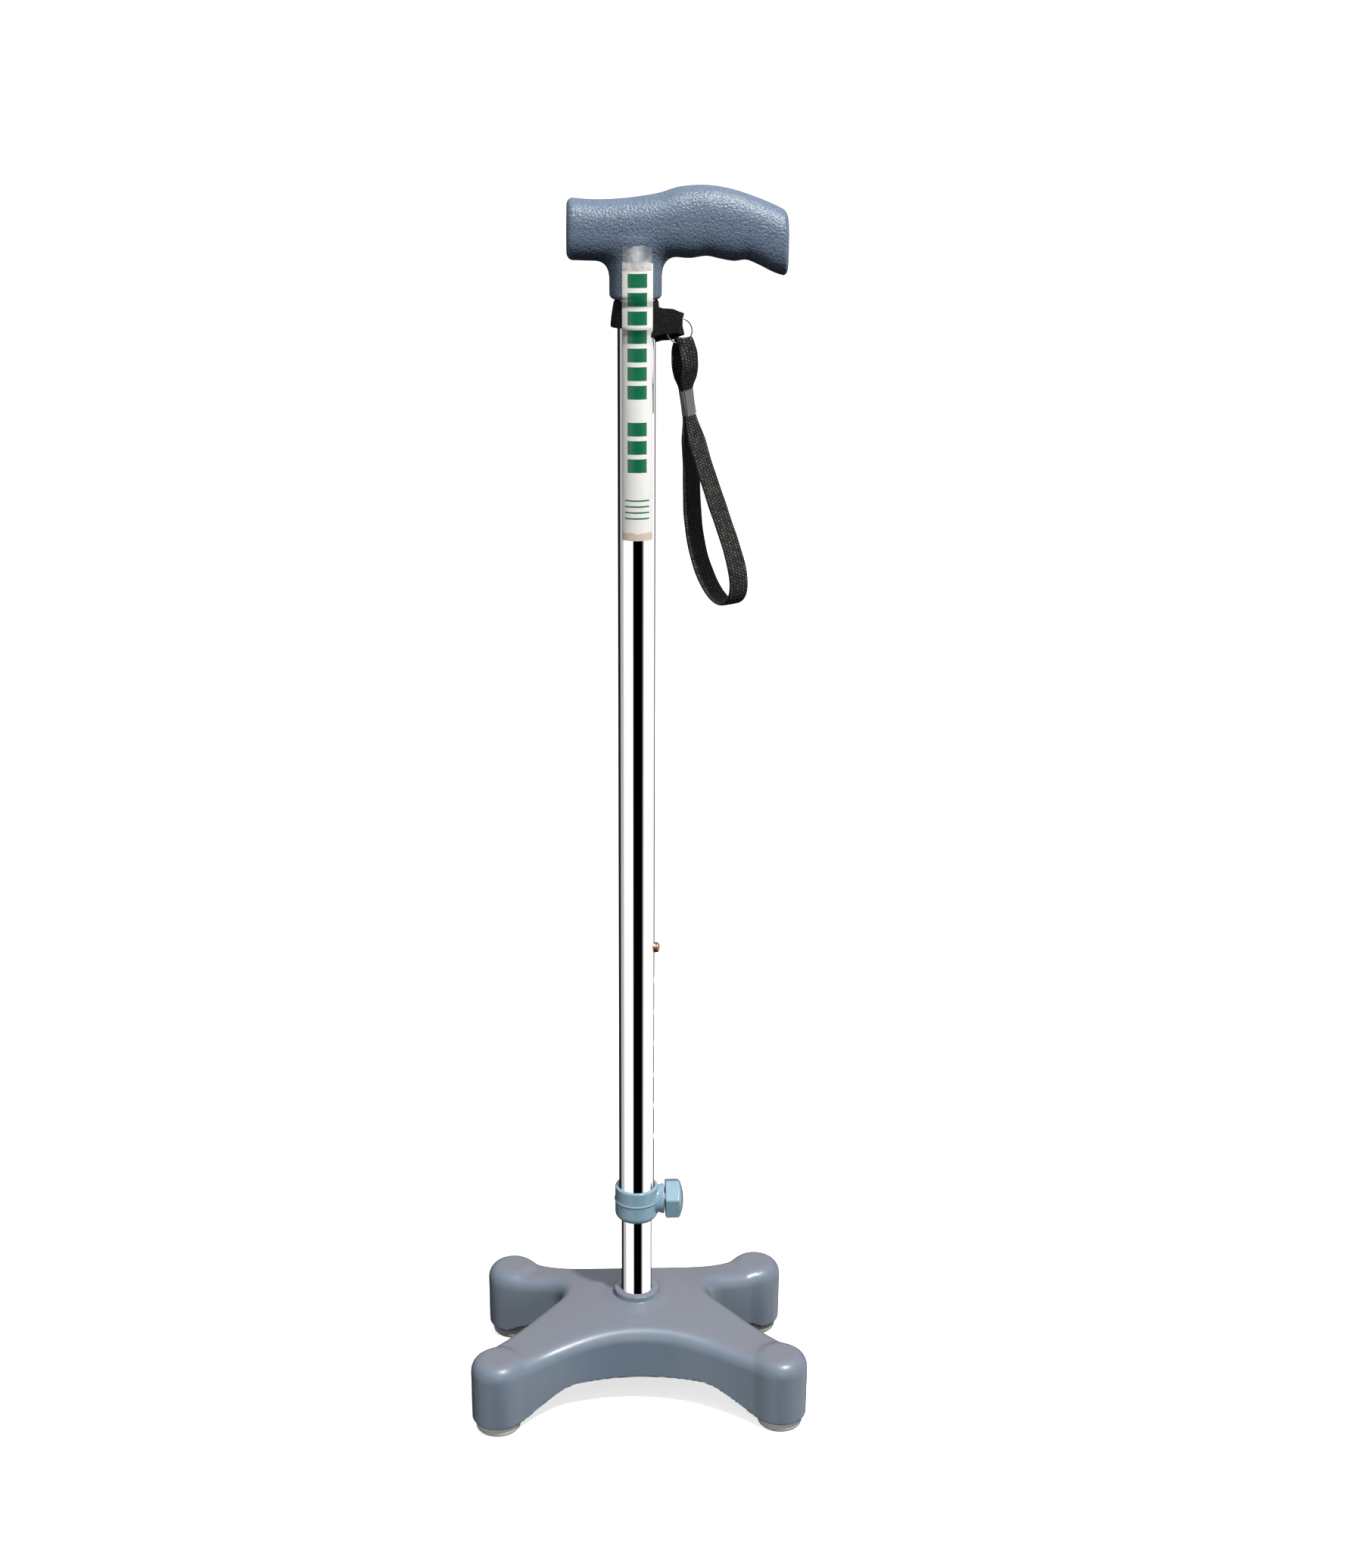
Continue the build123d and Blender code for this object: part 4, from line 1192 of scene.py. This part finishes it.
def make_crimp():
    """A steel strip folded into a box round the webbing, its ends meeting at the back."""
    length = np.linalg.norm(CRIMP_FOOT - CRIMP_TOP)
    down = (CRIMP_FOOT - CRIMP_TOP) / length
    wide = square_to(down, STRAP_WIDE)
    out = np.cross(wide, down)
    half_w, half_t, corner, sheet = 3.9, 2.5, 0.9, 0.5
    # round the box from the middle of the back and back to it, with the ends overlapped
    outline = []
    for cx, cy, start in ((1, 1, 90), (1, -1, 0), (-1, -1, -90), (-1, 1, -180)):
        for a in np.radians(np.linspace(start, start - 90, 7)):
            outline.append(((half_w - corner) * cx + corner * math.cos(a),
                            (half_t - corner) * cy + corner * math.sin(a)))
    outline = [(-0.6, half_t)] + outline + [(-0.9, half_t)]
    outer = np.array(outline)
    shrink = np.array([1 - sheet / half_w, 1 - sheet / half_t])
    ring = np.concatenate([outer, (outer * shrink)[::-1]])
    stations = [(0.0, 0.93), (0.3, 0.985), (0.7, 1.0), (length / 2, 0.97), (length - 0.7, 1.0),
                (length - 0.3, 0.985), (length, 0.93)]
    points = []
    for at, size in stations:
        section = ring * (size, size)
        points.append(CRIMP_TOP + down * at + section[:, :1] * wide + section[:, 1:] * out)
    around = len(ring)
    faces = [tuple(reversed(f)) for f in rings_to_faces(len(stations), around)]
    last = (len(stations) - 1) * around
    half = len(outer)
    for j in range(half - 1):
        a, b, c, d = j, j + 1, around - 2 - j, around - 1 - j
        faces.append((a, b, c, d))
        faces.append((last + d, last + c, last + b, last + a))
    piece = make_piece("strap_crimp_clip", np.concatenate(points), faces, CRIMP_STEEL)
    sharpen(piece, 35)
    return belongs(piece, "wrist_strap", "crimp_steel", "strap_crimp")


def make_ring():
    """A split ring: two turns of wire side by side, with a small step where they pass."""
    radius, wire = (RING_HIGH[0] - RING_LOW[0]) / 2 - 0.5, 0.42
    turns = np.linspace(0.02, 1.98, 240)
    angle = 2 * math.pi * turns + math.radians(140)
    shift = wire * (2 * ease(turns % 1.0, 0.86, 1.0) - 1) + 2 * wire * (np.floor(turns) - 0.5)
    shift = np.clip(shift, -wire, wire)
    path = np.stack([RING_CENTRE[0] + radius * np.cos(angle), shift,
                     RING_CENTRE[2] + radius * np.sin(angle)], axis=1)
    side = np.tile((0, 1.0, 0), (len(path), 1))
    angles = np.linspace(0, 2 * math.pi, 14, endpoint=False)
    section = np.stack([np.cos(angles), np.sin(angles)], axis=1) * wire
    points, faces, uv = swept(path, side, lambda i: section)
    ring = make_piece("split_ring_wire", points, faces, RING_STEEL, uv=uv)
    return belongs(ring, "strap_ring", "ring_steel", "split_ring")


def make_band():
    """The elastic band round the tube, loose on the left, and its tab folded round the ring."""
    steps, around = 16, 96
    angles = np.linspace(0, 2 * math.pi, around, endpoint=False)
    away = np.cos(angles - math.pi)
    loose = np.clip((away - 0.68) / 0.32, 0, 1) ** 0.8
    points = []
    uv = []
    for wall in ("outer", "inner"):
        for t in np.linspace(0, 1, steps) if wall == "outer" else np.linspace(1, 0, steps):
            z = BAND_TOP + (BAND_BOTTOM - BAND_TOP) * t
            swell = 0.45 * math.sin(math.pi * t)
            radius = (BAND_R - 0.5 + swell) + loose * (0.4 + 2.0 * t)
            radius = radius + 0.12 * np.sin(angles * 7 + 4 * t) * loose
            edge = 0.35 * (abs(2 * t - 1) > 0.96)
            if wall == "inner":
                radius = np.full(around, OUTER_R + 0.08)
            else:
                radius = radius - edge
            points.append(np.stack([radius * np.cos(angles), radius * np.sin(angles),
                                    np.full(around, z)], axis=1))
            uv.append(np.stack([np.full(around, z), angles * BAND_R], axis=1))
    faces = [tuple(reversed(f)) for f in rings_to_faces(2 * steps, around, closed_ends=True)]
    band = make_piece("elastic_band", np.concatenate(points), faces, ELASTIC, uv=np.concatenate(uv))
    sharpen(band, 60)
    belongs(band, "upper", "elastic_webbing", "strap_band")
    # the tab, from the front of the band round the ring's wire and back behind
    route = [(8.5, -8.8, 675.0), (12.5, -5.6, 674.6), (16.5, -2.7, 674.2), (21.0, -1.9, 673.8),
             (25.4, -1.5, 673.2), (25.9, 1.4, 671.6), (21.0, 1.9, 670.6), (16.5, 2.7, 670.0),
             (12.5, 5.6, 669.6), (8.5, 8.8, 669.4)]
    path, along = spaced(curve_points(route), 0.5)
    side = np.tile((0, 0, 1.0), (len(path), 1))

    def section_at(i):
        half = 7.4 + 1.2 * (1 - ease(path[i][0], 10.0, 15.0)) - 1.4 * ease(path[i][0], 19.0, 25.0)
        return web_section(half, 1.1, 7)

    points, faces, uv = swept(path, side, section_at)
    tab = make_piece("elastic_tab", points, faces, ELASTIC, uv=uv)
    return belongs(tab, "upper", "elastic_webbing")


# ---- the CAD nodes that stay ----
KEPT = {
    "base_bolt": ZINC, "base_washer": ZINC, "tube_end_plug": ZINC, "clamp_nut": ZINC,
    "clamp_screw": ZINC, "handle_screw": ZINC, "guide_bush": NYLON, "clamp_pad": NYLON,
    "button_spring": SPRING_STEEL,
}


def finish_kept_nodes():
    for name, material in KEPT.items():
        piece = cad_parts[name]
        if not piece.material_slots:
            piece.data.materials.append(material)
        for slot in piece.material_slots:
            slot.material = material


bpy.context.scene.view_settings.view_transform = "Standard"
make_camera()
make_floor()
make_light()
make_world()
make_base()
make_feet()
make_shaft()
make_button()
make_clamp()
make_grip()
make_label()
wrist_loop, wrist_path, wrist_length = make_wrist_loop()
short_loop = make_short_loop()
crimp = make_crimp()
ring = make_ring()
make_band()
finish_kept_nodes()
